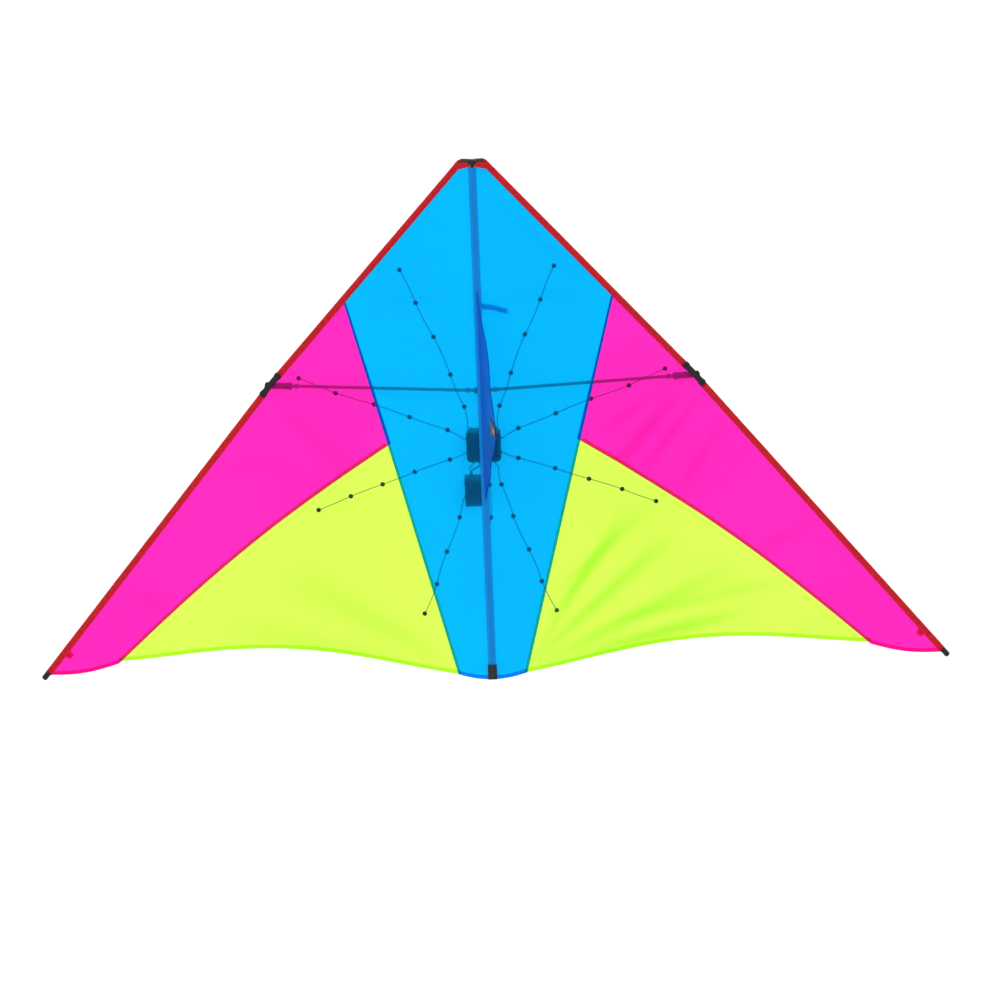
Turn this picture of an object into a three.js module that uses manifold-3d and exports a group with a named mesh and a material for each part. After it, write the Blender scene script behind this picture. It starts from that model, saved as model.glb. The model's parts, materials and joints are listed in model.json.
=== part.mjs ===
// A lit delta kite: a stiff spine, two wings that fold forward about it, a keel with a tow eyelet in
// front, and behind the sail a spreader, a light controller, a battery box and ten strings of lamps.
// Millimetres. +X is the span, +Y is the back of the kite and +Z is up, with the nose on top.
// Plan places are written as (out, down): out from the spine, and down from the nose.
import * as THREE from "three";
import { mergeVertices } from "three/addons/utils/BufferGeometryUtils.js";
import Module from "manifold-3d";

const wasm = await Module();
wasm.setup();

// ---- Driving dimensions ----
const gap = 0.3; // clearance between neighbours that touch on the real kite
const clothThickness = 0.8;
const dihedral = THREE.MathUtils.degToRad(8); // each wing sweeps back by this
const billowDepth = 22; // how far the rear of each wing fills backward

const nose = { out: 20.4, down: 4.8 }; // upper end of a leading edge spar
const elbow = { out: 371.4, down: 412.8 }; // where the two leading edge spars meet in the T fitting
const wingTip = { out: 794.5, down: 953.8 }; // lower end of a leading edge spar
const centreCornerDown = 258; // how far down the spar the blue panel's outer corner lies
const centreFoot = { out: 58, down: 938 }; // blue panel's outer corner on the trailing edge
const tripleDown = 517; // how far down the three sail colours meet
const outerFoot = { out: 663, down: 926 }; // pink and yellow panels' shared corner on the trailing edge
const outerSeamBow = 16; // how far that shared seam bows towards the leading edge
const trailingScallop = 31; // how far the yellow panel's trailing edge is cut away
const sailFoot = 945; // trailing edge at the spine

const sparRadius = 2.75;
const sleeveHalfWidth = 5.5;
const sleeveHalfDepth = 4.2;
const sleeveWall = 0.7;
const nosePatchLength = 22;
const noseTrim = 3; // the cloth starts this far below the spars' upper ends
const capLength = 16;
const capWall = 2.2;

const spineRadius = 3;
const pocketHalfWidth = 8;
const webbingWall = 1.2;
const noseWebbingLength = 14;
const tailWebbingLength = 27;
const spineCapLength = 9;
const spineInset = 3; // from the end of the webbing to the spine's cap

const teeLength = 50;
const teeRadius = 5.7;
const teeStem = 38;
const teeStemRadius = 5.6;
const teeBehind = 9; // the spreader runs this far behind the leading edge
const teeRib = 5; // moulded rib on the outer side
const socketDepth = 22;
const teeDrop = 4; // the stem's axis is this far below the elbow

const joinerBehind = 18; // spreader axis behind the spine's axis
const joinerDown = 424;
const joinerHalf = 13;
const joinerRadius = 5.4;
const saddleHalfWidth = 5;
const saddleHalfHeight = 9;

const keelTop = 237;
const keelFoot = 618;
const keelApex = { forward: 150, down: 455 };
const keelLean = THREE.MathUtils.degToRad(12); // the loose cloth leans to +X
const keelHinge = pocketBack() + gap; // the seam's distance in front of the spine's axis
const keelPatchSide = 44;
const eyeletRadius = 4.5;
const eyeletWall = 0.8;
const eyeletFlange = 8.6;
const eyeletInset = 13; // from the keel's apex

const hub = { width: 60, height: 58, depth: 17, down: 522, front: 6.6, wall: 2 };
const hubLid = 2.4;
const screwHeadRadius = 2.8;
const screwRadius = 1.3;
const screwSpread = 22; // each screw's distance from the hub's middle
const board = { width: 48, height: 34, thickness: 1.6 };

const cell = { radius: 5.15, length: 43.6, nub: 1.9, nubLength: 0.8 };
const cellPitch = 2 * cell.radius + gap;
const cellRoom = { side: 0.45, end: 0.6, depth: 0.5 }; // clearance round the row of three cells
const contactThickness = 0.5;
const packLid = 1.6;
const railDepth = 1; // how far the sliding cover's edges run into the case
const pack = { down: 605, front: 10.4, wall: 1.8, endWall: 3, innerEdge: 2 };
// The case is as large as the row of cells, the contact plate and the cover need
pack.width = 2 * (cellPitch + cell.radius + cellRoom.side + pack.wall + railDepth);
pack.height = 2 * (cell.length / 2 + cell.nubLength + cellRoom.end + contactThickness + gap + pack.endWall);
pack.depth = 2 * cell.radius + cellRoom.depth + packLid + 2 * pack.wall;
pack.out = pack.innerEdge - pack.width / 2;
const switchKnob = { height: 5, proud: 1.6, slot: 10 };

const wireRadius = 0.9;
const beadRadius = 4.2;
const beadHalfDepth = 2;
const leadRadius = 1.3;

const tie = { length: 50, width: 9, thickness: 0.8, out: 9, down: 266, slope: 0.28, behind: 2 };

const colours = {
  blue: 0x03a9f0,
  pink: 0xff28b4,
  yellow: 0xd8ff5c,
  red: 0xdc1c46,
  black: 0x15151a,
  carbon: 0x26282c,
  wire: 0x1d3b33,
  nickel: 0xa6a49c,
  green: 0x1f6a3c,
  steel: 0x9a9da3,
};

function pocketBack() {
  return sleeveHalfDepth;
}

// ---- Makers of meshes ----
function finish(colour, roughness = 0.7, metalness = 0) {
  return new THREE.MeshStandardMaterial({ color: colour, roughness, metalness });
}

function piece(name, geometry, material) {
  const mesh = new THREE.Mesh(geometry, material);
  mesh.name = name;
  return mesh;
}

function solid(geometry) {
  const bare = geometry.index ? geometry.toNonIndexed() : geometry.clone();
  bare.deleteAttribute("normal");
  bare.deleteAttribute("uv");
  const merged = mergeVertices(bare, 1e-4);
  return new wasm.Manifold(
    new wasm.Mesh({
      numProp: 3,
      vertProperties: merged.attributes.position.array,
      triVerts: new Uint32Array(merged.index.array),
    }),
  );
}

function geometryOf(body) {
  const mesh = body.getMesh();
  return new THREE.BufferGeometry()
    .setAttribute("position", new THREE.BufferAttribute(mesh.vertProperties, mesh.numProp))
    .setIndex(new THREE.BufferAttribute(mesh.triVerts, 1));
}

function joined(...geometries) {
  return geometryOf(geometries.map(solid).reduce((whole, next) => whole.add(next)));
}

function cut(geometry, ...tools) {
  return geometryOf(tools.map(solid).reduce((whole, tool) => whole.subtract(tool), solid(geometry)));
}

// A box by its lowest and highest corners.
function block(low, high) {
  return new THREE.BoxGeometry(high[0] - low[0], high[1] - low[1], high[2] - low[2]).translate(
    (low[0] + high[0]) / 2,
    (low[1] + high[1]) / 2,
    (low[2] + high[2]) / 2,
  );
}

// Turns a geometry made along +Y from the origin so that it starts at one point and runs towards another.
function along(geometry, from, to) {
  const direction = to.clone().sub(from).normalize();
  const turn = new THREE.Quaternion().setFromUnitVectors(new THREE.Vector3(0, 1, 0), direction);
  return geometry.applyQuaternion(turn).translate(from.x, from.y, from.z);
}

function rod(from, to, radius, sides = 12) {
  const length = from.distanceTo(to);
  return along(new THREE.CylinderGeometry(radius, radius, length, sides).translate(0, length / 2, 0), from, to);
}

// A flattened open tube along a straight line: width lies in the wing, depth across it.
function flatTube(from, to, halfWidth, halfDepth, wall, segments = 16) {
  const section = new THREE.Shape().absellipse(0, 0, halfWidth, halfDepth, 0, Math.PI * 2);
  section.holes.push(new THREE.Path().absellipse(0, 0, halfWidth - wall, halfDepth - wall, 0, Math.PI * 2));
  const tube = new THREE.ExtrudeGeometry(section, {
    depth: from.distanceTo(to),
    bevelEnabled: false,
    curveSegments: segments / 2,
  });
  const axis = to.clone().sub(from).normalize();
  const across = new THREE.Vector3(0, 1, 0).addScaledVector(axis, -axis.y).normalize();
  const side = across.clone().cross(axis);
  return tube.applyMatrix4(new THREE.Matrix4().makeBasis(side, across, axis).setPosition(from));
}

function tube(points, radius, sides, steps) {
  const section = new THREE.Shape().absarc(0, 0, radius, 0, Math.PI * 2);
  return new THREE.ExtrudeGeometry(section, {
    steps,
    extrudePath: new THREE.CatmullRomCurve3(points),
    curveSegments: sides / 2,
    bevelEnabled: false,
  });
}

// ---- The wing's surface ----
function plan(out, down) {
  return new THREE.Vector2(out, down);
}

function mix(a, b, share) {
  return plan(a.x + (b.x - a.x) * share, a.y + (b.y - a.y) * share);
}

// A point at a distance from the leading edge spars' line, inward of them.
function sparPoint(start, end, share, inward) {
  const from = plan(start.out, start.down);
  const to = plan(end.out, end.down);
  const direction = to.clone().sub(from).normalize();
  return mix(from, to, share).add(plan(-direction.y, direction.x).multiplyScalar(inward));
}

const sailEdge = sleeveHalfWidth + 2 * gap; // the cloth's edge, inward of the spar
const upperEdge = (share) => sparPoint(nose, elbow, share, sailEdge);
const lowerEdge = (share) => sparPoint(elbow, wingTip, share, sailEdge);
const sparSlope = (elbow.out - nose.out) / (elbow.down - nose.down);

function leadingEdgeOut(down) {
  const lower = (wingTip.out - elbow.out) / (wingTip.down - elbow.down);
  return down < elbow.down
    ? nose.out + (down - nose.down) * sparSlope
    : elbow.out + (down - elbow.down) * lower;
}

function billow(out, down) {
  const span = Math.max(leadingEdgeOut(down) - pocketHalfWidth, 1);
  const share = THREE.MathUtils.clamp((out - pocketHalfWidth) / span, 0, 1);
  return billowDepth * (down / sailFoot) ** 2 * Math.sin(Math.PI * share);
}

function onPlane(out, down, behind = 0) {
  return new THREE.Vector3(out, Math.abs(out) * Math.tan(dihedral) + behind, -down);
}

function onSail(out, down, behind = 0) {
  return onPlane(out, down, behind + billow(Math.abs(out), down));
}

// A panel of cloth between two edges, each a function of the share of its length.
function panel(innerEdge, outerEdge, columns, rows, shape = (p) => p) {
  const cloth = new THREE.BoxGeometry(1, 1, 1, columns, rows, 1);
  const corners = cloth.attributes.position;
  for (let i = 0; i < corners.count; i++) {
    const share = corners.getX(i) + 0.5;
    const length = 0.5 - corners.getY(i);
    const place = shape(mix(innerEdge(length), outerEdge(length), share), share, length);
    const point = onSail(place.x, place.y, -corners.getZ(i) * clothThickness);
    corners.setXYZ(i, point.x, point.y, point.z);
  }
  return cloth;
}

const centreCorner = upperEdge((centreCornerDown - nose.down) / (elbow.down - nose.down));

// The blue panel's seam with the pink and yellow ones
function seamAt(down) {
  const foot = plan(centreFoot.out, centreFoot.down);
  return mix(centreCorner, foot, (down - centreCorner.y) / (foot.y - centreCorner.y));
}

const triple = seamAt(tripleDown);

// The pink and yellow panels' shared seam, bowed towards the leading edge.
function outerSeam(share, aside) {
  const foot = plan(outerFoot.out, outerFoot.down);
  const direction = foot.clone().sub(triple).normalize();
  const bow = outerSeamBow * Math.sin(Math.PI * share) + aside;
  return mix(triple, foot, share).add(plan(direction.y, -direction.x).multiplyScalar(bow));
}

// ---- Spreader line, from the joiner on the spine to the T fitting's stem ----
const joinerPoint = new THREE.Vector3(0, joinerBehind, -joinerDown);
const stemPoint = onPlane(elbow.out, elbow.down + teeDrop, teeBehind);
const spreaderDirection = stemPoint.clone().sub(joinerPoint).normalize();
const onSpreader = (distance) => joinerPoint.clone().addScaledVector(spreaderDirection, distance);
const spreaderLength = joinerPoint.distanceTo(stemPoint);
const spreaderStart = 3.2;
const spreaderEnd = spreaderLength - teeStem + socketDepth;

// ---- One wing, out to +X ----
function wing(side) {
  const group = new THREE.Group();
  const add = (name, geometry, material) => group.add(piece(`${side}_${name}`, geometry, material));
  const nosePoint = onPlane(nose.out, nose.down);
  const elbowPoint = onPlane(elbow.out, elbow.down);
  const tipPoint = onPlane(wingTip.out, wingTip.down);
  const fromTo = (from, to, distance) =>
    from.clone().add(to.clone().sub(from).setLength(distance));

  // Cloth
  const innerEdge = pocketHalfWidth + 2 * gap;
  const topDown = nose.down + noseTrim;
  const cornerRow = 0.25; // the share of each panel's length where its edge has its corner
  const blueTop = upperEdge((topDown - nose.down) / (elbow.down - nose.down));
  const blueOuter = (share) =>
    share < cornerRow
      ? mix(blueTop, centreCorner, share / cornerRow).sub(plan(gap, 0))
      : mix(centreCorner, seamAt(centreFoot.down), (share - cornerRow) / (1 - cornerRow)).sub(plan(gap, 0));
  const blueInner = (share) => plan(innerEdge, blueTop.y + (sailFoot - blueTop.y) * share);
  add("sail_centre", panel(blueInner, blueOuter, 4, 16), finish(colours.blue));

  const elbowEdge = upperEdge(1).add(lowerEdge(0)).multiplyScalar(0.5);
  const pinkLeading = (share) =>
    share < cornerRow
      ? mix(centreCorner.clone().add(plan(gap, gap)), elbowEdge, share / cornerRow)
      : mix(elbowEdge, lowerEdge(0.985), (share - cornerRow) / (1 - cornerRow));
  const pinkSeam = (share) => outerSeam(share, gap).add(plan(gap * (1 - share), 0));
  add("sail_outer", panel(pinkSeam, pinkLeading, 5, 16), finish(colours.pink));

  const seamStart = 0.03; // the yellow panel's sharp upper corner is cut off blunt
  const yellowInner = (share) => {
    const down = tripleDown + (centreFoot.down - tripleDown) * (seamStart + (1 - seamStart) * share);
    return seamAt(down).add(plan(gap, 0));
  };
  const yellowOuter = (share) => outerSeam(seamStart + (1 - seamStart) * share, -gap);
  const scalloped = (place, share, length) =>
    place.sub(plan(0, trailingScallop * Math.sin(Math.PI * share) ** 1.3 * length ** 3));
  add("sail_rear", panel(yellowInner, yellowOuter, 8, 9, scalloped), finish(colours.yellow));

  // Leading edge spars in their sleeves
  const upperLength = nosePoint.distanceTo(elbowPoint);
  const lowerLength = elbowPoint.distanceTo(tipPoint);
  const web = 2; // solid middle of the T fitting, between the two spars' ends
  add(
    "leading_edge_rod_upper",
    rod(fromTo(nosePoint, elbowPoint, 1), fromTo(nosePoint, elbowPoint, upperLength - web), sparRadius),
    finish(colours.carbon, 0.35),
  );
  add(
    "leading_edge_rod_lower",
    rod(fromTo(elbowPoint, tipPoint, web), tipPoint, sparRadius),
    finish(colours.carbon, 0.35),
  );
  const teeHalf = teeLength / 2;
  const sleeve = (from, to) => flatTube(from, to, sleeveHalfWidth, sleeveHalfDepth, sleeveWall);
  add(
    "nose_patch",
    sleeve(nosePoint, fromTo(nosePoint, elbowPoint, nosePatchLength)),
    finish(colours.red, 0.9),
  );
  add(
    "leading_edge_sleeve_upper",
    sleeve(
      fromTo(nosePoint, elbowPoint, nosePatchLength + gap),
      fromTo(nosePoint, elbowPoint, upperLength - teeHalf - gap),
    ),
    finish(colours.red),
  );
  add(
    "leading_edge_sleeve_lower",
    sleeve(
      fromTo(elbowPoint, tipPoint, teeHalf + gap),
      fromTo(elbowPoint, tipPoint, lowerLength - capLength - gap),
    ),
    finish(colours.red),
  );
  const capBore = sparRadius + 1.3 * gap;
  const capEnd = fromTo(elbowPoint, tipPoint, lowerLength + gap + capWall);
  const capMouth = fromTo(elbowPoint, tipPoint, lowerLength - capLength + gap);
  add(
    "tip_cap",
    cut(
      rod(capMouth, capEnd, capBore + capWall, 16),
      rod(fromTo(capMouth, tipPoint, -1), fromTo(elbowPoint, tipPoint, lowerLength + gap), capBore, 16),
    ),
    finish(colours.black, 0.5),
  );

  // T fitting and spreader half
  const upperTee = fromTo(elbowPoint, nosePoint, teeHalf);
  const lowerTee = fromTo(elbowPoint, tipPoint, teeHalf);
  const bore = sparRadius + 1.3 * gap;
  const ribMiddle = elbowPoint.clone().add(new THREE.Vector3(teeRadius, teeRadius * Math.tan(dihedral), 4));
  const rib = new THREE.SphereGeometry(teeRib, 8, 5).scale(1, 0.8, 2.2);
  const stemInner = onSpreader(spreaderLength - teeStem);
  const blank = joined(
    rod(upperTee, elbowPoint, teeRadius),
    rod(elbowPoint, lowerTee, teeRadius),
    new THREE.SphereGeometry(teeRadius, 10, 6).translate(elbowPoint.x, elbowPoint.y, elbowPoint.z),
    rib.translate(ribMiddle.x, ribMiddle.y, ribMiddle.z),
    rod(stemInner, onSpreader(spreaderLength), teeStemRadius),
    rod(stemInner, onSpreader(spreaderLength - teeStem + 4), teeStemRadius + 1),
  );
  add(
    "t_connector",
    cut(
      blank,
      rod(fromTo(elbowPoint, nosePoint, web - gap), fromTo(elbowPoint, nosePoint, teeHalf + 1), bore),
      rod(fromTo(elbowPoint, tipPoint, web - gap), fromTo(elbowPoint, tipPoint, teeHalf + 1), bore),
      rod(onSpreader(spreaderLength - teeStem - 1), onSpreader(spreaderEnd + gap), bore),
    ),
    finish(colours.black, 0.5),
  );
  add(
    "spreader_rod",
    rod(onSpreader(spreaderStart), onSpreader(spreaderEnd), sparRadius),
    finish(colours.carbon, 0.35),
  );

  // Strings of lamps on the back of the cloth. Each route runs from its free end to the hub.
  const routes = {
    led_strand_front: [[135, 202], [109, 262], [80, 323], [53, 391], [31, 449], [26, 484]],
    led_strand_upper: [[321, 401], [257, 428], [190, 448], [128, 470], [62, 492], [37, 506]],
    led_strand_lower: [[296, 643], [238, 617], [181, 594], [123, 570], [60, 546], [37, 536]],
    led_strand_rear: [[116, 829], [92, 774], [72, 714], [47, 651], [29, 592], [25, 562]],
  };
  for (const [name, route] of Object.entries(routes)) {
    add(name, strand(route.map(([out, down]) => plan(out, down)), onSail), finish(colours.wire, 0.5));
  }
  return group;
}

// A wire with a flat lamp on each point of its route but the last, all lying behind a surface.
function strand(route, surface) {
  const lift = clothThickness / 2 + gap;
  const points = [];
  route.forEach((place, i) => {
    points.push(surface(place.x, place.y, lift + wireRadius));
    if (i < route.length - 1) {
      const middle = mix(place, route[i + 1], 0.5).add(plan(i % 2 ? 1.5 : -1.5, 0));
      points.push(surface(middle.x, middle.y, lift + wireRadius));
    }
  });
  const first = points[0].clone().lerp(points[1], -0.08);
  const lamps = route.slice(0, -1).map((place) => {
    const middle = surface(place.x, place.y, lift + beadHalfDepth);
    const slope = (surface(place.x + 1, place.y).y - surface(place.x - 1, place.y).y) / 2;
    return new THREE.CylinderGeometry(beadRadius * 0.7, beadRadius, 2 * beadHalfDepth, 8)
      .rotateZ(Math.atan(slope))
      .translate(middle.x, middle.y, middle.z);
  });
  return joined(tube([first, ...points], wireRadius, 8, 12), ...lamps);
}

// ---- Spine and what is sewn to it ----
function spine() {
  const group = new THREE.Group();
  const add = (name, geometry, material) => group.add(piece(name, geometry, material));
  const at = (down) => new THREE.Vector3(0, 0, -down);
  const spineTop = spineInset + gap;
  const spineBottom = sailFoot - spineInset - gap;
  add(
    "spine_rod",
    rod(at(spineTop + capWall / 2 + gap), at(spineBottom - capWall / 2 - gap), spineRadius, 14),
    finish(colours.carbon, 0.35),
  );
  const capRadius = spineRadius + gap + 0.5;
  const endCap = (end, inward) => {
    const mouth = end + inward * spineCapLength;
    const floor = end + (inward * capWall) / 2;
    return cut(
      rod(at(end), at(mouth), capRadius, 14),
      rod(at(floor), at(mouth + inward), spineRadius + gap, 14),
    );
  };
  add("spine_nose_cap", endCap(spineTop, 1), finish(colours.black, 0.5));
  add("spine_tail_cap", endCap(spineBottom, -1), finish(colours.black, 0.5));
  add(
    "spine_pocket",
    flatTube(
      at(noseWebbingLength + gap),
      at(sailFoot - tailWebbingLength - gap),
      pocketHalfWidth,
      sleeveHalfDepth,
      sleeveWall / 2,
      20,
    ),
    finish(colours.blue),
  );
  // Webbing folded over each end of the spine, open at the sides
  const strap = (low, high, opensUp) => {
    const half = pocketHalfWidth;
    const outer = block([-half, -pocketBack() - webbingWall, low], [half, pocketBack() + webbingWall, high]);
    const inner = block(
      [-half - 1, -pocketBack() - gap, opensUp ? low + webbingWall : low - 1],
      [half + 1, pocketBack() + gap, opensUp ? high + 1 : high - webbingWall],
    );
    return cut(outer, inner);
  };
  add("nose_webbing", strap(-noseWebbingLength, 0, false), finish(colours.black, 0.95));
  add("tail_webbing", strap(-sailFoot, -sailFoot + tailWebbingLength, true), finish(colours.black, 0.95));

  // Joiner for the two spreader halves
  const mirrored = (p) => new THREE.Vector3(-p.x, p.y, p.z);
  const tubeEnd = onSpreader(joinerHalf);
  const boreStart = onSpreader(spreaderStart - gap);
  const boreEnd = onSpreader(joinerHalf + 1);
  const bore = sparRadius + 1.3 * gap;
  const saddle = block(
    [-saddleHalfWidth, pocketBack() + gap, -joinerDown - saddleHalfHeight],
    [saddleHalfWidth, joinerBehind, -joinerDown + saddleHalfHeight],
  );
  add(
    "centre_joiner",
    cut(
      joined(
        rod(joinerPoint, tubeEnd, joinerRadius, 16),
        rod(joinerPoint, mirrored(tubeEnd), joinerRadius, 16),
        saddle,
      ),
      rod(boreStart, boreEnd, bore, 16),
      rod(mirrored(boreStart), mirrored(boreEnd), bore, 16),
    ),
    finish(colours.black, 0.5),
  );

  // Lamp strings along the spine pocket's back, beside the joiner and the battery box
  const behindPocket = (out, down, behind = 0) =>
    new THREE.Vector3(out, pocketBack() + behind - clothThickness / 2, -down);
  const beside = saddleHalfWidth + 3;
  const upRoute = [[0, 244], [0, 302], [0, 362], [beside, 403], [beside, 452], [beside, 488]];
  const downRoute = [[0, 829], [0, 771], [0, 711], [beside, 651], [beside, 591], [beside, 557]];
  for (const [name, route] of [["led_strand_up", upRoute], ["led_strand_down", downRoute]]) {
    add(name, strand(route.map(([out, down]) => plan(out, down)), behindPocket), finish(colours.wire, 0.5));
  }

  // Cloth tie that holds the rolled kite
  const tieStart = tie.out;
  const tieBack = pocketBack() + gap;
  const tieSheet = new THREE.BoxGeometry(tie.length, tie.thickness, tie.width, 5, 1, 1);
  const corners = tieSheet.attributes.position;
  for (let i = 0; i < corners.count; i++) {
    const out = corners.getX(i) + tie.length / 2;
    const sag = out * tie.slope;
    const y = tieBack + tie.behind + (tieStart + out) * Math.tan(dihedral) + corners.getY(i);
    corners.setXYZ(i, tieStart + out - pocketHalfWidth, y, corners.getZ(i) - tie.down - sag);
  }
  add("storage_tie", tieSheet, finish(colours.blue, 0.9));
  return group;
}

// ---- Keel, turned about its seam ----
function keel() {
  const swing = new THREE.Group();
  swing.position.set(0, -keelHinge, 0);
  swing.rotation.z = keelLean;
  const add = (name, geometry, material) => swing.add(piece(name, geometry, material));
  const edge = 2 * gap; // the cloth starts just in front of the hinge line
  const depth = keelApex.forward - keelHinge;
  const eyeletDepth = depth - eyeletInset;
  const holeRadius = eyeletRadius + eyeletWall + gap;

  // Drawn with the first axis forward and the second axis up, then stood in the plane of the spine
  const stand = (shape, low, high) =>
    new THREE.ExtrudeGeometry(shape, { depth: high - low, bevelEnabled: false, curveSegments: 8 })
      .translate(0, 0, low)
      .applyMatrix4(
        new THREE.Matrix4().makeBasis(
          new THREE.Vector3(0, -1, 0),
          new THREE.Vector3(0, 0, 1),
          new THREE.Vector3(-1, 0, 0),
        ),
      );
  const hole = () => new THREE.Path().absarc(eyeletDepth, -keelApex.down, holeRadius, 0, Math.PI * 2);
  const cloth = new THREE.Shape()
    .moveTo(edge, -keelTop)
    .lineTo(edge, -keelFoot)
    .quadraticCurveTo(depth * 0.52, -keelFoot + 66, depth, -keelApex.down - 9)
    .lineTo(depth, -keelApex.down + 9)
    .quadraticCurveTo(depth * 0.55, -keelTop - 104, edge, -keelTop);
  cloth.holes.push(hole());
  const half = clothThickness / 2;
  add("keel_panel", stand(cloth, -half, half), finish(colours.blue));

  // A patch on each face around the eyelet
  const patch = new THREE.Shape()
    .moveTo(depth - 1, -keelApex.down + 8)
    .lineTo(depth - keelPatchSide, -keelApex.down + 15)
    .lineTo(depth - keelPatchSide, -keelApex.down - 15)
    .lineTo(depth - 1, -keelApex.down - 8);
  patch.holes.push(hole());
  const patchFace = half + gap;
  const patchOuter = patchFace + 0.6;
  add("keel_patch_left", stand(patch, patchFace, patchOuter), finish(colours.black, 0.9));
  add("keel_patch_right", stand(patch, -patchOuter, -patchFace), finish(colours.black, 0.9));

  const rim = patchOuter + gap;
  const barrel = eyeletRadius + eyeletWall;
  const profile = [
    [eyeletRadius, -rim - eyeletWall],
    [eyeletFlange, -rim - eyeletWall / 2],
    [eyeletFlange, -rim],
    [barrel, -rim],
    [barrel, rim],
    [eyeletFlange, rim],
    [eyeletFlange, rim + eyeletWall / 2],
    [eyeletRadius, rim + eyeletWall],
    [eyeletRadius, -rim - eyeletWall],
  ].map(([r, h]) => new THREE.Vector2(r, h));
  const eyelet = new THREE.LatheGeometry(profile, 20)
    .rotateZ(Math.PI / 2)
    .translate(0, -eyeletDepth, -keelApex.down);
  add("tow_eyelet", eyelet, finish(colours.nickel, 0.3, 1));
  return swing;
}

// ---- Light controller, a box with a lid on its back ----
function controller() {
  const group = new THREE.Group();
  const add = (name, geometry, material) => group.add(piece(name, geometry, material));
  const half = { out: hub.width / 2, up: hub.height / 2 };
  const back = hub.front + hub.depth;
  const seat = back - hubLid;
  group.position.set(0, 0, -hub.down);
  const rounded = (low, high, inset, radius) => {
    const shape = new THREE.Shape();
    const w = half.out - inset;
    const h = half.up - inset;
    shape.moveTo(-w + radius, -h).lineTo(w - radius, -h).absarc(w - radius, -h + radius, radius, -Math.PI / 2, 0);
    shape.lineTo(w, h - radius).absarc(w - radius, h - radius, radius, 0, Math.PI / 2);
    shape.lineTo(-w + radius, h).absarc(-w + radius, h - radius, radius, Math.PI / 2, Math.PI);
    shape.lineTo(-w, -h + radius).absarc(-w + radius, -h + radius, radius, Math.PI, Math.PI * 1.5);
    return new THREE.ExtrudeGeometry(shape, { depth: high - low, bevelEnabled: false, curveSegments: 4 })
      .rotateX(Math.PI / 2)
      .translate(0, high, 0);
  };
  const cornerRadius = 8;
  const postRadius = 3.2;
  const screwAt = [screwSpread, -screwSpread];
  const post = (up) => rod(new THREE.Vector3(0, hub.front + 1, up), new THREE.Vector3(0, seat - 2 * gap, up), postRadius);
  const shankHole = (up, from, to, radius) =>
    rod(new THREE.Vector3(0, from, up), new THREE.Vector3(0, to, up), radius);
  const tray = cut(
    rounded(hub.front, seat - gap, 0, cornerRadius),
    rounded(hub.front + hub.wall, seat + 1, hub.wall, cornerRadius - hub.wall),
  );
  add(
    "hub_base",
    cut(
      joined(tray, ...screwAt.map(post)),
      ...screwAt.map((up) => shankHole(up, hub.front + 3, back, screwRadius + gap)),
    ),
    finish(colours.black, 0.45),
  );
  const headDepth = 1.4;
  add(
    "hub_lid",
    cut(
      rounded(seat, back, 0, cornerRadius),
      ...screwAt.map((up) => shankHole(up, seat - 1, back + 1, screwRadius + gap)),
      ...screwAt.map((up) => shankHole(up, back - headDepth, back + 1, screwHeadRadius + gap)),
    ),
    finish(colours.black, 0.45),
  );
  const screw = (up) => {
    const head = back - headDepth + gap;
    return joined(
      shankHole(up, hub.front + 4, head + 0.4, screwRadius),
      shankHole(up, head, back - gap / 2, screwHeadRadius),
    );
  };
  add("hub_screw_upper", screw(screwSpread), finish(colours.steel, 0.35, 1));
  add("hub_screw_lower", screw(-screwSpread), finish(colours.steel, 0.35, 1));
  const boardFront = hub.front + hub.wall + 3;
  const standing = [-board.width / 2, boardFront, -board.height / 2];
  const boardTop = [board.width / 2, boardFront + board.thickness, board.height / 2];
  add("hub_circuit_board", block(standing, boardTop), finish(colours.green, 0.6));
  const padHalf = pocketHalfWidth - 1;
  add(
    "hub_pad",
    block([-padHalf, pocketBack() + gap, -half.up + 6], [padHalf, hub.front - gap, half.up - 6]),
    finish(colours.black, 1),
  );
  return group;
}

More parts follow.
